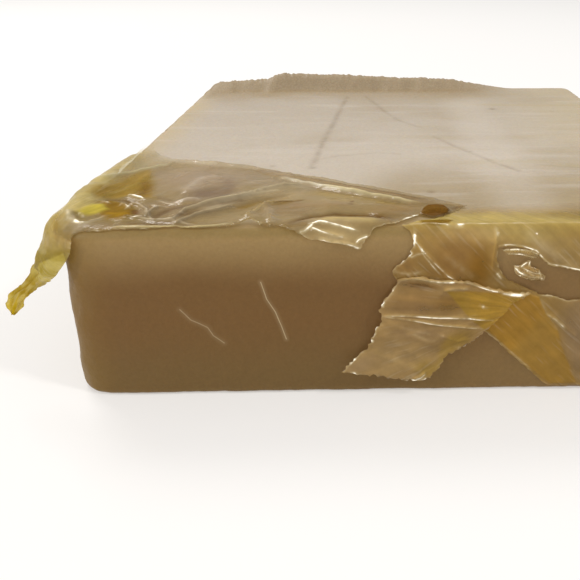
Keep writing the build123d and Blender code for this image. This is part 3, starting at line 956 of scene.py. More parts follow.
corner_strokes = [
    ([(-20.2, -12.1), (-19.2, -11.6), (-18.2, -11.5), (-17.0, -11.9), (-16.1, -12.8)], LIT_TAN, 0.55, 0.6),
    ([(-25.1, -18.8), (-24.4, -18.3), (-23.0, -16.2), (-21.5, -14.1), (-20.2, -11.9)], vivid(204, 190, 150, 0.5), 0.30, 0.75),
    ([(-18.6, -26.75), (-18.0, -26.1), (-17.4, -24.96), (-16.1, -24.4), (-15.1, -23.8)], SHADE, 0.26, 0.85),
    ([(-18.3, -27.2), (-16.7, -27.5), (-16.2, -25.7), (-14.9, -24.3), (-12.8, -22.9)], LIT_TAN, 0.16, 0.75),
    ([(-16.5, -28.2), (-15.3, -26.4), (-14.0, -25.5), (-12.7, -24.4)], LIT_TAN, 0.14, 0.65),
    ([(-17.6, -27.6), (-15.9, -26.2), (-14.5, -25.2), (-13.4, -24.2)], SHADE, 0.14, 0.55),
    ([(-17.6, -23.9), (-16.5, -23.3), (-15.4, -23.2)], vivid(198, 180, 154, 0.5), 0.36, 0.75),
    ([(-18.8, -26.75), (-18.65, -25.4), (-18.3, -24.6), (-17.8, -24.8)], LIT_TAN, 0.10, 0.7),
    ([(-20.9, -23.7), (-20.0, -23.9), (-18.9, -25.4)], LIT_TAN, 0.10, 0.6),
    ([(-17.1, -21.7), (-16.9, -20.4), (-16.3, -17.7), (-15.5, -17.0), (-14.7, -17.4)], vivid(196, 178, 152, 0.5), 0.6, 0.55),
    ([(-15.3, -17.8), (-14.4, -18.0), (-13.8, -19.7), (-13.9, -21.6), (-14.6, -22.8)], vivid(150, 126, 98, 0.5), 0.6, 0.55),
    ([(-12.6, -19.8), (-11.6, -18.6), (-10.4, -17.8)], vivid(190, 172, 142, 0.5), 0.5, 0.6),
    ([(-15.1, -25.7), (-13.7, -23.9), (-10.9, -20.9), (-9.5, -19.5), (-7.6, -18.9)], vivid(196, 180, 148, 0.5), 0.5, 0.6),
    ([(-13.0, -25.0), (-11.9, -23.8), (-10.4, -22.4), (-8.8, -21.3)], vivid(156, 130, 84, 0.5), 0.42, 0.7),
    ([(-11.7, -27.5), (-11.1, -26.0), (-10.5, -24.2), (-9.5, -23.8)], vivid(190, 170, 132, 0.5), 0.26, 0.7),
    ([(-10.2, -23.8), (-9.2, -23.45), (-7.6, -22.9)], vivid(138, 108, 56, 0.5), 0.18, 0.9),
    ([(-10.0, -25.0), (-9.8, -26.8), (-9.5, -28.4)], vivid(188, 168, 134, 0.5), 0.26, 0.6),
    ([(-8.6, -28.2), (-7.9, -27.6), (-6.9, -26.7), (-5.2, -26.1), (-3.0, -26.4), (-0.9, -27.3)], vivid(134, 104, 54, 0.5), 0.22, 0.9),
    ([(-6.6, -27.9), (-4.9, -27.6), (-3.3, -27.8), (-1.9, -28.1)], vivid(196, 174, 124, 0.5), 0.45, 0.75),
    ([(-9.0, -24.9), (-6.5, -24.6), (-4.0, -24.8)], vivid(174, 150, 112, 0.5), 0.7, 0.6),
    ([(-7.6, -20.6), (-4.6, -22.0), (-2.0, -23.4), (0.4, -24.9)], vivid(182, 160, 108, 0.5), 0.6, 0.7),
    # painted fold shadow below the raised rear edge, and painted highlights along the shoulder inside it
    ([(-13.95, -14.20), (-12.04, -14.35), (-10.40, -15.08), (-6.84, -17.57), (-2.80, -20.09), (-0.37, -21.49), (1.14, -22.40), (3.40, -23.50)],
     vivid(152, 128, 92, 0.6), 0.34, 0.85),
    ([(-10.21, -16.87), (-6.75, -19.26), (-2.80, -21.73)], vivid(218, 204, 174, 0.6), 0.34, 0.9),
    ([(-6.75, -19.26), (-2.80, -21.73), (-0.43, -23.04), (1.04, -23.94)], vivid(226, 206, 158, 0.6), 0.26, 0.92),
    ([(-4.25, -23.7), (-3.95, -23.6)], vivid(118, 88, 48, 0.6), 0.22, 0.8),
    ([(-21.2, -28.3), (-18.0, -28.35), (-15.6, -28.5), (-14.5, -28.35), (-13.3, -28.25), (-12.2, -27.95)], vivid(206, 188, 140, 0.6), 0.14, 0.8),
    ([(-20.0, -27.6), (-18.6, -27.7), (-17.4, -27.9)], SHADE, 0.22, 0.5),
    # painted light and shade, with some tints of the film, inside the gathered corner
    ([(-23.6, -22.4), (-22.4, -21.0), (-21.6, -18.6), (-21.2, -16.0)], vivid(176, 154, 92, 0.5), 0.30, 0.6),
    ([(-20.4, -21.8), (-20.6, -19.6), (-21.1, -17.6)], vivid(140, 110, 44, 0.6), 0.5, 0.55),
    ([(-22.9, -22.9), (-21.6, -22.5), (-20.2, -23.0)], vivid(138, 108, 46, 0.6), 0.26, 0.8),
    ([(-21.9, -26.0), (-21.0, -26.2), (-20.2, -25.8)], vivid(182, 152, 76, 0.6), 0.30, 0.6),
    ([(-20.0, -24.9), (-19.7, -26.0)], vivid(138, 100, 36, 0.6), 0.30, 0.8),
    ([(-24.4, -25.7), (-23.9, -27.1), (-23.1, -27.9), (-22.5, -27.7), (-22.0, -27.0), (-21.9, -26.6)], vivid(196, 180, 146, 0.6), 0.22, 0.5),
    ([(-23.9, -26.1), (-23.5, -26.9), (-22.8, -26.9)], vivid(164, 144, 100, 0.5), 0.22, 0.7),
    ([(-25.6, -23.6), (-24.9, -21.4), (-24.2, -19.6)], air(206, 194, 150, 0.7), 0.22, 0.6),
    ([(-25.4, -25.2), (-25.2, -23.0), (-24.8, -21.0)], air(186, 168, 84, 0.7), 0.25, 0.6),
    ([(-19.2, -22.0), (-18.3, -22.6), (-17.6, -23.2)], SHADE, 0.20, 0.5),
    ([(-18.9, -22.8), (-18.0, -23.6), (-17.2, -24.2)], LIT_TAN, 0.12, 0.6),
    ([(-19.3, -23.6), (-18.3, -24.3), (-17.4, -24.6)], LIT_TAN, 0.10, 0.55),
    ([(-19.2, -25.0), (-18.9, -26.0), (-18.0, -27.4)], LIT_TAN, 0.12, 0.55),
    ([(-19.8, -26.6), (-18.4, -27.0), (-16.6, -27.7), (-14.6, -28.1)], LIT_TAN, 0.12, 0.6),
    ([(-19.0, -27.4), (-17.0, -28.0)], SHADE, 0.14, 0.5),
    ([(-15.0, -24.9), (-13.4, -23.9), (-12.0, -23.0)], SHADE, 0.16, 0.5),
    ([(-12.6, -22.9), (-11.0, -21.6), (-9.6, -20.6)], LIT_TAN, 0.14, 0.5),
]
# painted glints on the creases and folds
corner_marks = [
    ([F(-6.9, 12.98), F(-6.2, 12.99), F(-5.3, 12.92), F(-4.4, 12.82), F(-3.7, 12.74)], 0.95, 0.065),
    ([F(-6.9, 12.86), F(-6.1, 12.68), F(-5.2, 12.5), F(-4.5, 12.4)], 0.80, 0.055),
    ([F(-6.3, 12.3), F(-5.4, 12.16), F(-4.4, 12.06), F(-3.6, 11.8)], 0.90, 0.065),
    ([F(-7.7, 12.66), F(-7.3, 12.76), F(-6.95, 12.9), F(-6.7, 12.98)], 0.75, 0.11),
    ([F(-7.6, 12.56), F(-7.15, 12.44), F(-6.8, 12.3)], 0.70, 0.08),
    ([F(-3.9, 11.8), F(-3.6, 11.72), F(-3.42, 11.72)], 0.85, 0.10),
    ([F(-3.75, 12.06), F(-3.55, 12.26), F(-3.3, 12.36), F(-3.0, 12.44), F(-2.86, 12.44)], 0.75, 0.075),
    ([F(-2.6, 12.75), (-1.9, -28.5), (-1.2, -28.3)], 0.5, 0.06),
    ([(-1.1, -28.3), (-0.6, -27.9), (-0.15, -27.3), (0.3, -26.95)], 0.9, 0.10),
    ([(0.3, -26.9), (0.6, -26.6), (0.85, -26.35)], 1.0, 0.12),
    ([(-21.5, -21.6), (-20.8, -21.9), (-20.0, -22.4)], 0.85, 0.085),
    ([(-23.3, -23.4), (-22.8, -23.3), (-22.2, -23.8)], 0.75, 0.08),
    ([(-21.4, -24.1), (-21.3, -23.7), (-20.9, -24.2), (-20.5, -24.9), (-20.5, -24.2)], 0.62, 0.075),
    ([(-23.5, -27.6), (-23.1, -27.85), (-22.7, -27.75)], 0.95, 0.11),
    ([(-24.4, -25.8), (-24.1, -26.8)], 0.45, 0.09), ([(-22.6, -27.4), (-22.1, -26.9), (-21.9, -26.5)], 0.35, 0.09),
    ([(-20.2, -26.5), (-19.6, -26.8), (-19.2, -26.7)], 0.7, 0.07),
    ([F(-22.4, 12.7), F(-21.9, 12.8), F(-21.5, 12.86)], 0.6, 0.09),
    ([(-19.4, -28.4), (-18.8, -28.3), (-18.1, -28.2)], 0.6, 0.07),
    ([(-17.4, -28.3), (-15.4, -28.3), (-13.2, -28.2), (-12.1, -28.2)], 0.24, 0.07),
    ([(-16.2, -25.7), (-14.9, -24.4), (-12.8, -22.9)], 0.16, 0.09),
    ([(3.2, -25.9), (3.9, -25.0), (4.5, -24.3)], 0.25, 0.07),
    # painted highlight on the shoulder just inside the rear edge
    ([(-10.21, -16.87), (-6.75, -19.26), (-2.8, -21.73)], 0.34, 0.18), ([(-2.8, -21.73), (-0.43, -23.04), (1.04, -23.94)], 0.34, 0.13),
]
# colour pools: the film's own yellow tints, with painted light and shade on its folds and in its pit
corner_pools = [
    (top(198, 182, 126, 0.5), -24.6, -21.0, 1.7, 8.0, 0, 0.9), (top(192, 176, 138, 0.5), -23.9, -10.5, 2.2, 5.0, 0, 0.9),
    (top(176, 160, 112, 0.4), -22.9, -12.6, 0.9, 1.8, 20, 0.7), (air(214, 194, 122, 0.7), -25.4, -26.0, 2.0, 3.2, 0, 0.85), (air(200, 184, 132, 0.85), -25.4, -16.0, 1.6, 11.0, 0, 0.97), (air(188, 172, 130, 0.8), -25.2, -8.0, 1.2, 5.0, 0, 0.95), (top(220, 200, 128, 0.6), -24.4, -24.8, 1.1, 2.2, 0, 0.8),
    (top(182, 162, 132), -16.4, -16.6, 4.6, 3.8, 0, 0.9), (top(174, 154, 122), -12.2, -17.6, 2.6, 1.2, -35, 0.75),
    (top(141, 116, 90), -15.4, -21.4, 1.55, 1.25, 35, 0.95), (top(184, 167, 134), -14.2, -24.4, 2.2, 0.7, 50, 0.85),
    (top(184, 166, 130), -12.9, -21.0, 0.5, 2.4, 10, 0.6), (top(192, 174, 136), -9.9, -21.4, 2.0, 1.6, 0, 0.8),
    (top(152, 125, 86), -16.4, -26.6, 2.0, 0.42, 38, 0.9), (top(150, 124, 84), -17.2, -28.0, 0.8, 0.32, 20, 0.8),
    (top(168, 138, 72), -11.9, -24.2, 1.2, 0.42, 45, 0.9), (top(176, 155, 112), -13.6, -27.3, 3.0, 0.55, 6, 0.7),
    (top(140, 110, 56), -9.2, -24.1, 1.3, 0.30, 24, 0.95), (top(168, 143, 104), -8.6, -25.4, 1.8, 1.1, 0, 0.8),
    (top(180, 157, 104), -5.0, -23.6, 3.8, 0.9, -6, 0.7), (top(136, 108, 64), -4.2, -26.55, 3.6, 0.28, 0, 0.9),
    (top(208, 188, 146), -4.6, -27.6, 2.6, 0.62, 0, 0.85), (top(182, 156, 106), -0.9, -25.2, 1.9, 1.1, 20, 0.8),
    (top(166, 138, 86), -20.0, -28.3, 2.6, 0.6, 0, 0.8), (top(184, 170, 142), -8.0, -19.2, 1.0, 0.8, -40, 0.9),
    (top(160, 134, 94), -18.4, -24.2, 1.5, 1.5, 0, 0.8), (top(186, 168, 134), -20.2, -23.9, 1.4, 0.4, -30, 0.5),
    (top(120, 92, 55), -4.15, -24.4, 0.28, 0.22, 0, 0.8), (top(200, 188, 164), -22.6, -28.2, 1.0, 0.5, 0, 0.5),
    (fro(178, 156, 112, 0.4),) + F(-5.0, 12.4) + (2.4, 0.9, 0, 0.95),
    (top(128, 98, 55), 3.9, -24.75, 0.7, 0.3, 25, 0.9),
]
corner_patches = [
    (band_ring, 0.10, top(176, 154, 118, 0.5), 0.3, 0.5),
    (pool_a, 0.06, top(166, 138, 66, 0.6, 0.4), 1.0, 0.92),
    (pool_b, 0.10, top(156, 124, 52, 0.65, 0.4), 1.0, 0.95),
    (crescent, 0.08, top(212, 194, 88, 0.6, 0.4), 0.6, 0.95),
    (disc, 0.12, top(126, 90, 26, 0.6, 0.4), 0.14, 0.97),
]
corner = sheet("corner_film_sheet", corner_outline, top(172, 150, 106), corner_ridges, corner_bumps, corner_marks, corner_pools, corner_patches,
               gap=0.19, lift=0.16, jag=0.06, seed=5, wrinkle=0.055, rim=0.4, rim_of=corner_front, grain=("fan", -25.5, -30.0), strokes=corner_strokes,
               fade=lambda P: 1 - np.maximum(0.8 * step(-14.0, -8.0, P[:, 1]) * step(-24.0, -21.5, P[:, 0]), 0.95 * step(-10.0, -5.0, P[:, 1])))
finish_film(corner, "corner_film")
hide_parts("corner_wrapper")

# where the film hangs from the corner and gathers into a torn, twisted tail:
# rows of (back edge, outermost line, front edge), from the top down
TAIL = np.array([
    [(-23.9, -19.5, 13.4), (-24.4, -25.2, 13.75), (-22.0, -28.6, 13.28)],
    [(-25.0, -19.8, 12.9), (-25.3, -26.2, 13.45), (-23.0, -29.28, 12.95)],
    [(-25.30, -20.5, 12.0), (-25.75, -26.9, 12.85), (-23.3, -29.30, 12.2)],
    [(-25.32, -22.0, 11.0), (-26.25, -26.9, 11.63), (-23.5, -29.28, 11.5)],
    [(-25.40, -23.8, 10.2), (-26.80, -26.9, 10.64), (-24.1, -29.12, 10.7)],
    [(-26.1, -25.2, 9.8), (-27.0, -27.3, 9.75), (-24.8, -28.9, 9.8)],
    [(-27.35, -26.3, 9.7), (-26.8, -27.4, 9.45), (-25.7, -28.1, 9.0)],
    [(-27.86, -26.8, 8.65), (-27.3, -27.2, 8.68), (-26.5, -27.4, 8.4)],
    [(-28.55, -26.9, 8.1), (-28.1, -27.1, 7.9), (-27.5, -26.9, 7.72)],
    [(-29.45, -27.0, 7.22), (-28.8, -26.7, 7.25), (-28.05, -26.9, 7.2)],
    [(-29.66, -26.9, 6.7), (-29.1, -27.1, 6.6), (-28.55, -26.8, 6.5)],
    [(-29.5, -26.9, 5.95), (-29.42, -27.0, 5.82), (-29.2, -26.9, 5.85)],
])


def tail(name):
    n, m = 110, 46
    rows = len(TAIL)
    t = np.linspace(0, rows - 1, n)
    k = np.clip(np.floor(t).astype(int), 0, rows - 2)
    u = (t - k)[:, None, None]
    p0, p1, p2, p3 = TAIL[np.maximum(k - 1, 0)], TAIL[k], TAIL[k + 1], TAIL[np.minimum(k + 2, rows - 1)]
    C = 0.5 * (2 * p1 + (p2 - p0) * u + (2 * p0 - 5 * p1 + 4 * p2 - p3) * u**2 + (3 * p1 - p0 - 3 * p2 + p3) * u**3)
    s = np.linspace(0, 1, m)[None, :, None]
    A, M, B = C[:, None, 0], C[:, None, 1], C[:, None, 2]
    G = A * (2 * (s - 0.5) * (s - 1)) + M * (4 * s * (1 - s)) + B * (2 * s * (s - 0.5))
    T, S = np.meshgrid(t / (rows - 1), s[0, :, 0], indexing="ij")
    co = G.reshape(-1, 3)
    idx = np.arange(n * m).reshape(n, m)
    q = np.stack([idx[:-1, :-1].ravel(), idx[1:, :-1].ravel(), idx[1:, 1:].ravel(), idx[:-1, 1:].ravel()], 1)
    tri = np.concatenate([q[:, [0, 1, 2]], q[:, [0, 2, 3]]])
    N = normals(co, tri)
    if N[:, 1].mean() > 0:
        tri, N = tri[:, ::-1], -N
    T, S = T.ravel(), S.ravel()
    wid = np.linalg.norm(G[:, -1] - G[:, 0], axis=1)[:, None].repeat(m, 1).ravel()
    # pleats that tighten towards the neck, and looser ones above it
    amp = 0.03 + 0.09 * step(0.35, 0.62, T)
    pleat = np.sin((S * 1.9 + T * 1.3 + 0.25 * noise2(T * 5, S * 2, 81)) * 2 * math.pi) * amp + 0.05 * noise2(T * 9, S * 9, 82) * step(0.2, 0.5, T)
    pleat = pleat * np.clip(wid / 1.4, 0.35, 1) + 0.05 * fbm2(T * 14, S * 5, 83, 3)
    co = co + N * pleat[:, None]
    # ragged sides
    edge = np.abs(S - 0.5) * 2
    tug = (noise2(T * 46, S * 0 + 2.2, 84) * 0.6 + noise2(T * 19, S * 0 + 7.7, 86)) * 0.13 * step(0.86, 1.0, edge) * step(0.05, 0.3, T)
    across = (G[:, -1] - G[:, 0]) / np.linalg.norm(G[:, -1] - G[:, 0], axis=1)[:, None]
    co = co + across[:, None, :].repeat(m, 1).reshape(-1, 3) * (tug * np.sign(S - 0.5))[:, None]
    co[:, 0] = np.maximum(co[:, 0], -29.7)

    W = lambda v: v[:, None]
    c = np.tile(air(186, 168, 98, 0.7), (len(co), 1))
    front = step(0.55, 0.75, S) * step(0.36, 0.22, T)
    c = c * (1 - W(front)) + fro(170, 146, 96, 0.5) * W(front)
    w = step(0.22, 0.34, T)
    c = c * (1 - W(w)) + air(170, 152, 72, 0.7) * W(w)
    w = step(0.40, 0.52, T)
    c = c * (1 - W(w)) + air(182, 164, 88, 0.7) * W(w)
    w = step(0.55, 0.68, T)
    c = c * (1 - W(w)) + air(162, 136, 50, 0.7) * W(w)
    w = step(0.76, 0.84, T)
    c = c * (1 - W(w)) + air(190, 166, 68, 0.7) * W(w)
    w = step(0.84, 0.93, T) * step(0.1, 0.5, S)
    c = c * (1 - W(w)) + air(172, 146, 38, 0.7) * W(w)
    # painted shade on one flank of each pleat
    dark = 0.4 * step(0.3, 1.0, np.cos((S * 1.9 + T * 1.3 + 0.25) * 2 * math.pi)) * step(0.3, 0.6, T)
    c = c * (1 - W(dark)) + air(150, 122, 56, 0.6) * W(dark)
    # painted mottled highlights
    lit = 0.45 * np.clip(noise2(T * 16, S * 7, 92) * 1.6 - 0.1, 0, 1) * step(0.16, 0.34, T)
    c = c * (1 - W(lit)) + air(202, 186, 118, 0.6) * W(lit)
    deep = 0.6 * np.clip(noise2(T * 11 + 4, S * 5, 93) * 1.6 - 0.2, 0, 1) * step(0.12, 0.3, T)
    c = c * (1 - W(deep)) + air(150, 130, 40, 0.7) * W(deep)
    # painted glints along the torn sides and on the neck
    sp = np.clip(0.1 + noise2(T * 60, S * 11, 87) * 1.1, 0, 1)
    cr = 0.6 * sp * np.exp(-((np.minimum(S, 1 - S) / 0.02) ** 2)) * step(0.08, 0.2, T)
    cr = np.maximum(cr, 0.55 * np.clip(noise2(T * 30, S * 8, 88) - 0.45, 0, 1) * step(0.5, 0.7, T))
    # where it leaves the top it is one with the sheet there
    seen = step(0.03, 0.20, T + 0.05 * noise2(S * 5, T * 9, 89))
    c[:, 3] *= seen
    c[:, 4:] = 1 - (1 - c[:, 4:]) * W(seen)
    g = np.stack([T * 2.4, S * 4.0 * np.clip(wid / 3, 0.4, 2), T * 0], 1)
    return shell(name, co, tri, {"film": c[:, :4], "pass": np.concatenate([c[:, 4:], sheen(c) * (0.1 + 0.9 * W(seen))], 1), "crease": cr, "grain": g}, 0.03)


finish_film(tail("corner_film_tail"), "corner_film")

# ---- front piece ----------------------------------------------------------
FOLD = [(-0.77, 9.15), (-0.42, 9.28), (0.53, 9.37), (1.6, 9.19), (2.67, 9.07), (3.27, 9.11), (4.1, 9.05), (5.07, 8.69),
        (6.04, 8.36), (6.65, 8.28), (7.51, 8.02), (8.35, 7.98), (8.69, 8.15)]
front_left = FL([(-0.5, 12.97), (0.05, 12.7), (0.32, 12.2), (0.32, 11.8), (0.05, 11.4), (0.16, 11.24), (-0.13, 10.93),
                 (-1.0, 10.2), (-1.18, 9.93), (-1.15, 9.7), (-0.95, 9.35)])
front_fold = FL([(-0.77, 9.12), (0.53, 9.3), (1.6, 9.12), (2.67, 9.0), (3.3, 8.95)])
front_v = FL([(4.1, 8.0), (4.8, 6.6), (5.46, 5.16), (6.23, 4.53), (7.54, 3.13), (8.85, 1.98), (10.2, 0.66), (10.6, 0.4)])
front_foot = [F(23.2, 0.4)] + [RC(a, 0.4) for a in range(80, -1, -10)]
front_side = [RS(-14.0, 0.4), RS(-11.6, 0.5), RS(-9.2, 2.6), RS(-9.6, 4.4), RS(-7.6, 5.6), RS(-7.5, 7.4), RS(-8.1, 9.0),
              RS(-7.5, 10.4), RS(-8.3, 11.8), RS(-7.6, 12.6)]
front_top = [(23.8, -7.6), (22.9, -8.2), (21.6, -10.2), (22.0, -13.0), (21.2, -16.6), (21.0, -20.0), (19.6, -22.4),
             (17.0, -23.4), (12.9, -23.8), (6.4, -24.3), (4.0, -25.2), (2.7, -26.6), (1.4, -27.3), (0.55, -27.7), (0.0, -28.2)]
front_outline = front_left + front_fold + front_v + front_foot + front_side + front_top
hole = FL([(6.25, 11.7), (7.05, 11.73), (8.0, 11.6), (8.96, 11.27), (9.48, 10.7), (9.98, 10.25), (10.95, 10.04), (12.17, 9.77),
           (13.6, 9.4), (14.6, 8.7), (13.5, 7.9), (12.37, 7.55), (11.4, 7.5), (10.77, 7.77), (10.16, 7.95), (9.49, 7.96),
           (8.85, 8.3), (7.9, 8.75), (7.0, 9.2), (6.5, 9.9), (6.15, 10.8)])
strap_ring = FL([(3.5, 8.85), (5.0, 8.55), (6.6, 8.2), (8.6, 8.0), (9.4, 7.75), (10.0, 6.5), (10.95, 5.15), (11.45, 3.5), (12.1, 2.05),
                 (12.7, 0.6), (10.75, 0.6), (8.95, 2.1), (7.62, 3.25), (6.32, 4.62), (5.55, 5.25), (4.8, 6.8), (4.2, 8.0)])
under_disc = [(0.75, -27.7), (1.3, -27.45), (2.7, -27.3), (3.2, -27.5), (2.8, -28.2), (1.9, -28.45), (1.0, -28.3)]
strap_low = FL([(10.0, 6.5), (10.95, 5.15), (11.45, 3.5), (12.1, 2.05), (12.7, 0.6), (10.75, 0.6), (8.95, 2.1), (7.62, 3.25), (8.4, 4.4)])

front_ridges = [
    (FL([(0.09, 12.5), (0.62, 11.92), (1.21, 11.17), (2.05, 10.27), (2.78, 9.5), (3.3, 9.17)]), 0.15, 0.09),
    (FL([(0.56, 12.0), (1.1, 11.04), (1.58, 10.41), (2.25, 9.57)]), 0.11, 0.08),
    (FL([(2.5, 11.15), (3.59, 10.26), (4.69, 9.35)]), 0.14, 0.5),
    (FL([(8.03, 12.7), (9.15, 11.96), (10.16, 11.07), (11.16, 10.5)]), 0.22, 0.5),
    (FL([(6.1, 12.7), (6.1, 11.9), (5.95, 10.8), (5.97, 9.9), (6.6, 9.1)]), 0.16, 0.16),
    (FL([(10.03, 6.45), (10.67, 6.04), (11.4, 5.35), (12.6, 4.3)]), 0.20, 0.2),
    (FL([(14.6, 8.7), (17.5, 6.0), (21.0, 4.2), (23.0, 3.6)]), 0.26, 0.35),
    (FL([(15.5, 12.6), (18.0, 9.8), (21.5, 8.2)]), 0.22, 0.35),
    (FL([(17.0, 1.0), (19.5, 5.0), (23.0, 7.2)]), 0.22, 0.32),
    ([RS(-26.0, 12.0), RS(-20.0, 8.5), RS(-12.0, 6.8)], 0.28, 0.35),
    ([RS(-26.0, 2.0), RS(-20.0, 5.0), RS(-12.0, 6.0)], 0.26, 0.35),
    ([RS(-25.0, 7.0), RS(-17.0, 7.0), RS(-9.5, 7.0)], 0.18, 0.3),
    ([(20.0, -27.5), (21.6, -22.0), (22.6, -15.0), (23.2, -10.0)], 0.22, 0.35),
]
# painted glints along creases, torn edges and the top front edge
front_marks = [
    (FL([(0.09, 12.5), (0.62, 11.92), (1.21, 11.17), (2.05, 10.27), (2.78, 9.5), (3.3, 9.17)]), 0.70, 0.055),
    (FL([(0.56, 12.0), (1.1, 11.04), (1.58, 10.41), (2.25, 9.57)]), 0.55, 0.05),
    (FL([(0.1, 10.93), (0.51, 11.18), (0.98, 11.3)]), 0.4, 0.07),
    (FL([(0.36, 12.6), (0.34, 12.2), (0.30, 11.8), (0.1, 11.5)]), 1.3, 0.12),
    (FL([(0.08, 11.45), (0.12, 11.24), (-0.1, 10.98)]), 1.2, 0.10), (FL([(-0.3, 10.8), (-0.9, 10.3), (-1.12, 9.95)]), 0.7, 0.09),
    (FL([(-1.1, 9.88), (-0.65, 9.8), (-0.06, 9.68), (0.53, 9.78), (0.88, 9.88)]), 0.45, 0.09),
    (FL([(-0.75, 12.97), (0.6, 12.99), (2.7, 12.98), (4.0, 12.99), (5.8, 12.98), (8.1, 12.99), (12.0, 12.99), (18.0, 12.98), (24.0, 12.97)]), 0.55, 0.06),
    (FL([(2.6, 12.97), (3.2, 12.94), (3.9, 12.98)]), 0.95, 0.13),
    (FL([(6.1, 12.85), (6.16, 12.35)]), 0.85, 0.12),
    (FL([(6.22, 9.75), (6.6, 9.2)]), 0.55, 0.09),
    (FL([(2.5, 11.15), (3.59, 10.26), (4.69, 9.35)]), 0.12, 0.14),
    (FL([(8.03, 12.7), (9.15, 11.96), (10.16, 11.07), (11.16, 10.5), (12.1, 10.1)]), 0.16, 0.30),
    (FL([(6.29, 11.8), (7.05, 11.85), (8.0, 11.72), (8.96, 11.4), (9.48, 10.84), (9.98, 10.38), (10.95, 10.16), (12.17, 9.88), (13.5, 9.5)]), 0.85, 0.06),
    (FL([(9.49, 7.9), (10.16, 7.88), (10.77, 7.72), (11.4, 7.44), (12.37, 7.5)]), 0.45, 0.06),
    (FL([(10.03, 6.45), (10.67, 6.04), (11.4, 5.35)]), 0.75, 0.08),
    (FL([(5.65, 5.05), (6.86, 4.06), (8.04, 2.94), (9.24, 1.82)]), 0.30, 0.07),
    (FL([(9.5, 7.6), (10.02, 6.5), (10.98, 5.12)]), 0.16, 0.08),
]
front_pools = [
    (top(208, 187, 117, 0.42), 9.0, -27.2, 18.0, 1.6, 0, 0.95), (fro(192, 166, 112),) + F(4.4, 12.55) + (3.2, 0.55, 0, 0.8), (top(150, 122, 60, 0.45), 14.0, -26.6, 6.0, 1.0, 0, 0.6),
    (top(178, 152, 84, 0.42), 22.5, -17.0, 2.5, 9.0, 0, 0.8),
    (fro(157, 128, 76),) + F(1.4, 12.0) + (1.6, 1.2, -40, 0.8), (fro(146, 111, 64),) + F(3.2, 10.6) + (1.8, 2.2, -40, 0.8),
    (fro(136, 100, 48),) + F(5.0, 10.0) + (0.9, 1.6, 0, 0.9), (fro(168, 146, 90),) + F(8.8, 12.4) + (2.8, 0.8, -10, 0.9),
    (fro(163, 139, 98),) + F(9.9, 11.4) + (1.5, 0.5, -35, 0.8), (fro(160, 134, 82),) + F(12.0, 11.4) + (2.2, 1.1, -10, 0.8),
    (fro(147, 115, 69),) + F(-0.2, 10.3) + (0.9, 0.9, 0, 0.8), (fro(144, 120, 88),) + F(13.4, 4.6) + (2.4, 4.4, 0, 0.9),
    (fro(158, 130, 76),) + F(20.0, 8.0) + (4.0, 5.0, 0, 0.5),
]
front_patches = [
    (strap_ring, 0.10, fro(160, 124, 60, 0.34, 0.6), 0.1, 0.95),
    (strap_low, 0.0, fro(158, 126, 66, 0.34, 0.6), 0.9, 0.8),
    (under_disc, 0.05, top(158, 125, 40, 0.5, 0.6), 0.2, 0.9),
]
front = sheet("front_film_sheet", front_outline, fro(150, 122, 72), front_ridges, [F(1.0, 10.6) + (1.5, 1.2, 0, 0.14),
              F(5.0, 11.0) + (2.6, 1.6, 0, 0.16), F(16.0, 9.0) + (3.0, 3.0, 0, 0.25)], front_marks, front_pools, front_patches, gap=0.32,
              lift=0.12, holes=[hole], jag=0.045, seed=7, wrinkle=0.045, rim=0.3, grain=("line", -46),
              fade=lambda P: 1 - 0.93 * step(-27.2, -23.9, P[:, 1]) * step(20.5, 18.5, P[:, 0]))
finish_film(front, "front_film")
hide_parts("front_wrapper")

# the crumpled tag in the hole, and the torn second edge above it
tag_outline = FL([(7.4, 10.35), (7.9, 10.3), (8.45, 10.65), (8.6, 10.6), (8.65, 10.15), (9.3, 9.95), (9.75, 9.4), (9.7, 9.05),
                  (9.1, 9.05), (8.3, 9.25), (7.75, 9.55), (7.45, 9.95)])
tag = sheet("front_film_tag", tag_outline, thin(150, 122, 78), [(FL([(7.5, 10.15), (8.1, 9.75), (9.5, 9.3)]), 0.30, 0.15),
            (FL([(7.8, 9.7), (8.6, 9.4), (9.5, 9.15)]), 0.26, 0.12), (FL([(8.2, 10.1), (9.2, 9.7)]), 0.25, 0.12)],
            gap=0.16, lift=0.16, jag=0.07, seed=19, wrinkle=0.12, rim=0.4, grain=("line", -30),
            marks=[(FL([(7.43, 10.21), (7.87, 9.82), (8.49, 9.49), (9.33, 9.36), (9.6, 9.12)]), 1.1, 0.07), (FL([(7.8, 9.6), (8.3, 9.3), (9.2, 9.12)]), 0.9, 0.06),
                   (FL([(8.54, 10.58), (8.51, 10.14)]), 0.8, 0.06), (FL([(8.0, 10.1), (8.7, 9.8), (9.4, 9.6)]), 0.8, 0.055),
                   (FL([(7.5, 10.3), (8.0, 10.2), (8.4, 10.5)]), 0.8, 0.055), (FL([(8.3, 9.9), (8.9, 9.5)]), 0.7, 0.05), (FL([(9.2, 9.9), (9.4, 9.5), (9.3, 9.2)]), 0.6, 0.05)])
finish_film(tag, "front_film")
torn = sheet("front_film_torn_edge", FL([(6.5, 11.5), (7.6, 11.6), (8.6, 11.45), (9.3, 11.1), (9.1, 10.85), (8.7, 10.8), (7.8, 11.1), (6.9, 11.12)]),
             thin(150, 124, 80), [(FL([(6.9, 11.3), (7.8, 11.3), (8.9, 11.0)]), 0.18, 0.14)], gap=0.18, lift=0.22, jag=0.06, seed=23,
             wrinkle=0.05, rim=0.3, grain=("line", -10), marks=[(FL([(6.96, 11.2), (7.79, 11.18), (8.87, 10.89)]), 0.9, 0.055), (FL([(6.6, 11.45), (7.6, 11.52), (8.6, 11.36), (9.2, 11.05)]), 0.8, 0.05)])
finish_film(torn, "front_film")

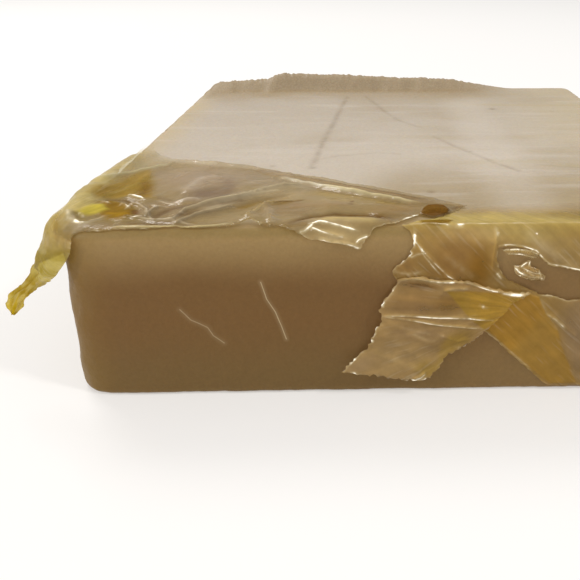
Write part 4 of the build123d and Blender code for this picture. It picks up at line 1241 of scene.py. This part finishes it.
# ---- the torn flap ---------------------------------------------------------
flap_torn = [(-0.77, 9.18), (-0.9, 8.9), (-1.24, 8.38), (-1.84, 7.6), (-2.2, 7.08), (-1.97, 6.61), (-2.09, 5.95), (-2.33, 5.75), (-2.58, 4.94),
             (-2.96, 4.12), (-3.57, 3.65), (-4.39, 2.75), (-4.95, 2.25), (-3.6, 2.0), (-2.11, 1.75), (-1.12, 1.46), (0.5, 1.36), (1.6, 1.53)]
flap_outline = FL([(-0.85, 9.3), (-0.42, 9.42), (0.53, 9.5), (1.6, 9.34), (2.67, 9.22), (3.3, 9.25), (4.1, 9.19), (5.07, 8.84), (6.04, 8.52),
                   (6.65, 8.42), (7.51, 8.2), (8.35, 8.18), (8.75, 8.22), (8.35, 7.9), (7.5, 7.4), (6.9, 6.7), (6.4, 6.1), (6.2, 5.8), (5.46, 5.2),
                   (4.87, 4.69), (3.79, 3.88), (2.82, 3.34), (2.3, 2.6), (1.74, 1.81)] + flap_torn[::-1][:-1])


def flap_curl(P):
    # stands off the cake more towards its free edge, with the tip curling out
    z = H - R_TOP - (-(HY - R_TOP) - ARC - P[:, 1])
    x = P[:, 0]
    return 0.26 * step(9.2, 6.0, z) + 0.22 * step(4.0, 1.4, z) + 0.20 * step(-1.0, -5.0, x)


through_flap = FL([(2.6, 8.5), (4.4, 8.35), (6.2, 8.2), (8.3, 7.95), (7.6, 7.2), (6.5, 6.0), (5.45, 5.35), (4.75, 6.0), (4.05, 6.7), (3.3, 7.65)])
flap_low = FL([(2.9, 5.0), (2.3, 4.0), (2.1, 2.9), (0.9, 1.6), (1.7, 1.7), (2.4, 2.4), (3.4, 3.7), (4.5, 4.6), (3.9, 5.0)])
flap = sheet("torn_flap_sheet", flap_outline, fro(158, 130, 84, 0.38, 0.45), [
    (FL(FOLD), 0.14, 0.075),
    (FL([(-1.97, 6.61), (0.08, 6.58), (2.26, 6.42), (4.44, 6.32), (6.35, 6.1)]), 0.11, 0.075),
    (FL([(-1.97, 6.57), (-0.28, 6.32), (1.3, 6.03), (2.51, 5.81), (3.98, 5.66), (5.4, 5.43)]), 0.11, 0.075),
    (FL([(2.45, 8.4), (3.16, 8.59), (4.24, 8.57)]), 0.16, 0.18),
    (FL([(-0.4, 8.7), (0.6, 8.6), (2.0, 8.3)]), -0.10, 0.4),
    (FL([(-1.9, 6.4), (0.4, 4.9), (2.6, 3.9)]), 0.14, 0.32), (FL([(-2.4, 5.4), (-0.4, 4.0), (1.6, 2.6)]), 0.12, 0.32),
    (FL([(-3.0, 3.9), (-1.0, 2.9), (1.0, 2.0)]), 0.12, 0.32), (FL([(0.3, 1.5), (0.87, 1.7), (1.25, 2.1)]), 0.20, 0.14),
    (FL([(2.2, 5.1), (3.6, 4.5), (4.6, 4.7)]), 0.12, 0.25)],
    [F(1.5, 4.6) + (2.6, 1.4, 20, 0.12), F(0.8, 7.5) + (2.2, 0.8, 0, 0.10)], [
    # painted glints along the fold and the torn edges
    (FL(FOLD), 0.42, 0.06),
    (FL([(-0.3, 9.28), (0.53, 9.37), (1.1, 9.28)]), 0.6, 0.09),
    (FL([(1.4, 9.22), (2.2, 9.1), (2.9, 9.07), (3.3, 9.12)]), 0.9, 0.085),
    (FL([(4.3, 9.0), (5.07, 8.69), (6.04, 8.36), (6.65, 8.28)]), 0.75, 0.06),
    (FL([(6.64, 8.2), (7.3, 8.07), (8.0, 8.02), (8.6, 8.15)]), 0.9, 0.12),
    (FL([(2.45, 8.4), (3.16, 8.59), (4.24, 8.57)]), 0.32, 0.12),
    (FL([(-1.97, 6.61), (0.08, 6.58), (2.26, 6.42), (4.44, 6.32), (6.35, 6.1)]), 0.78, 0.055),
    (FL([(-1.97, 6.57), (-0.28, 6.32), (1.3, 6.03), (2.51, 5.81), (3.98, 5.66), (5.4, 5.43)]), 0.62, 0.05),
    (FL([(-0.6, 5.75), (0.5, 5.35), (1.6, 5.15)]), 0.16, 0.09), (FL([(0.2, 5.2), (1.2, 4.75), (2.0, 4.6)]), 0.16, 0.09),
    (FL([(0.5, 1.42), (0.87, 1.56), (1.18, 1.96)]), 0.9, 0.11),
    (FL([(-0.9, 8.9), (-1.24, 8.3), (-1.84, 7.6)]), 0.35, 0.08), (FL([(-2.2, 6.0), (-2.33, 5.75), (-2.2, 5.6)]), 0.55, 0.12),
    (FL([(-3.57, 3.7), (-4.39, 2.85), (-4.9, 2.3)]), 0.45, 0.10),
    (FL([(5.19, 7.25), (5.5, 7.11)]), 0.6, 0.10), (FL([(2.25, 5.05), (2.55, 5.0)]), 0.5, 0.08), (FL([(3.54, 4.02), (3.79, 3.95)]), 0.6, 0.08)],
    # pools: film tints; the thin dark one just under the fold is a painted shadow
    [(fro(141, 112, 72, 0.36, 0.45),) + F(0.5, 7.6) + (2.4, 1.0, 0, 0.8), (fro(118, 88, 50, 0.36, 0.7),) + F(0.9, 8.8) + (1.3, 0.22, -6, 0.9),
     (fro(131, 101, 55, 0.36, 0.5),) + F(3.0, 7.4) + (1.2, 0.7, 0, 0.7), (fro(152, 125, 86, 0.4, 0.4),) + F(1.0, 5.2) + (2.2, 0.6, 0, 0.8),
     (fro(142, 116, 62, 0.38, 0.45),) + F(3.6, 4.7) + (1.4, 0.7, 30, 0.8), (fro(160, 134, 90, 0.38, 0.45),) + F(-1.2, 3.2) + (3.0, 1.4, 0, 0.7),
     (fro(152, 127, 90, 0.4, 0.4),) + F(-3.6, 2.7) + (1.2, 0.6, 20, 0.8), (fro(150, 124, 66, 0.38, 0.45),) + F(1.2, 2.4) + (0.8, 0.6, 0, 0.8)],
    [(through_flap, 0.0, fro(158, 128, 60, 0.36, 0.45), 0.22, 0.85), (flap_low, 0.0, fro(160, 132, 68, 0.36, 0.45), 0.5, 0.75)],
    gap=0.2, lift=0.27, jag=0.13, seed=27, wrinkle=0.05, rim=1.25, rim_of=FL(flap_torn), extra=flap_curl, grain=("fan", 8.4, F(0, 7.0)[1]))
finish_film(flap)
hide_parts("torn_flap")
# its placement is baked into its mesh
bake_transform(flap)


# ================================================================= stage
def plain(name, col, rough=0.9, glow=0.0):
    n = Nodes(name)
    p = n.new("ShaderNodeBsdfPrincipled")
    p.inputs["Base Color"].default_value = col
    p.inputs["Roughness"].default_value = rough
    p.inputs["Specular IOR Level"].default_value = 0.0
    p.inputs["Emission Color"].default_value = (1.0, 0.985, 0.965, 1)
    p.inputs["Emission Strength"].default_value = glow
    out = n.new("ShaderNodeOutputMaterial")
    n.link(p.outputs[0], out.inputs["Surface"])
    return n.mat


fm = bpy.data.meshes.new("floor")
S = 3.0
fm.from_pydata([(-S, -S, -0.00002), (S, -S, -0.00002), (S, S, -0.00002), (-S, S, -0.00002)], [], [(0, 1, 2, 3)])
floor = bpy.data.objects.new("floor", fm)
bpy.context.scene.collection.objects.link(floor)
floor.data.materials.append(plain("floor", (0.56, 0.55, 0.54, 1), 0.9, 0.42))

world = bpy.data.worlds.new("world")
bpy.context.scene.world = world
world.use_nodes = True
_wt = world.node_tree
_bg = _wt.nodes["Background"]
_bg.inputs[0].default_value = (1.0, 0.99, 0.975, 1)
# the backdrop reads white to the camera and lights the part more softly
_lp = _wt.nodes.new("ShaderNodeLightPath")
_ws = _wt.nodes.new("ShaderNodeMapRange")
_ws.inputs["To Min"].default_value = 0.56
_ws.inputs["To Max"].default_value = 0.955
_wt.links.new(_lp.outputs["Is Camera Ray"], _ws.inputs["Value"])
_wt.links.new(_ws.outputs[0], _bg.inputs[1])


def area(name, loc, size, power, target=(0, 0, 0.006), col=(1, 0.98, 0.95)):
    ld = bpy.data.lights.new(name, "AREA")
    ld.size, ld.energy, ld.color = size, power, col
    ob = bpy.data.objects.new(name, ld)
    ob.location = loc
    ob.rotation_euler = (Vector(target) - Vector(loc)).to_track_quat("-Z", "Y").to_euler()
    bpy.context.scene.collection.objects.link(ob)
    return ob


area("key", (-0.25, 0.30, 0.42), 0.20, 1.15)
area("glint_left", (-0.30, -0.20, 0.30), 0.05, 0.5)
area("glint_right", (0.28, -0.16, 0.34), 0.05, 0.5)

# ================================================================ camera
CAM = Vector((-2.66229, -80.53297, 31.39653)) * MM
YAW, PITCH, ROLL = 0.02972, 0.38262, 0.00067
cd = bpy.data.cameras.new("camera")
cam = bpy.data.objects.new("camera", cd)
bpy.context.scene.collection.objects.link(cam)
fwd = Vector((math.sin(YAW) * math.cos(PITCH), math.cos(YAW) * math.cos(PITCH), -math.sin(PITCH)))
right = Vector((math.cos(YAW), -math.sin(YAW), 0))
upv = right.cross(fwd)
r2 = right * math.cos(ROLL) + upv * math.sin(ROLL)
u2 = -right * math.sin(ROLL) + upv * math.cos(ROLL)
rot = Matrix((r2, u2, -fwd)).transposed()
cam.rotation_euler = rot.to_euler()
cam.location = CAM
cd.sensor_width = 36.0
cd.lens = 786.60 / 580 * 36.0
cd.clip_start, cd.clip_end = 0.002, 20.0
# This viewpoint looks a little off the lens axis. The offset belongs to it
# alone, so it fades out when the camera stands anywhere else.
home = bpy.data.objects.new("camera_home", None)
home.location = CAM
bpy.context.scene.collection.objects.link(home)
for prop, val in (("shift_x", (290 - 393.15) / 580), ("shift_y", (260.63 - 290) / 580)):
    fc = cd.driver_add(prop)
    fc.driver.type = "SUM"
    v = fc.driver.variables.new()
    v.type = "LOC_DIFF"
    v.targets[0].id, v.targets[1].id = cam, home
    while fc.modifiers:
        fc.modifiers.remove(fc.modifiers[0])
    while len(fc.keyframe_points):
        fc.keyframe_points.remove(fc.keyframe_points[0])
    # keys nearer than 0.01 merge, so the offset fades over 20 mm
    for at, value in ((0.0, val), (0.02, 0.0)):
        fc.keyframe_points.insert(at, value).interpolation = "LINEAR"
    fc.extrapolation = "CONSTANT"
    fc.update()
bpy.context.scene.camera = cam
bpy.context.scene.view_settings.view_transform = "Standard"
bpy.context.scene.cycles.transparent_max_bounces = 24
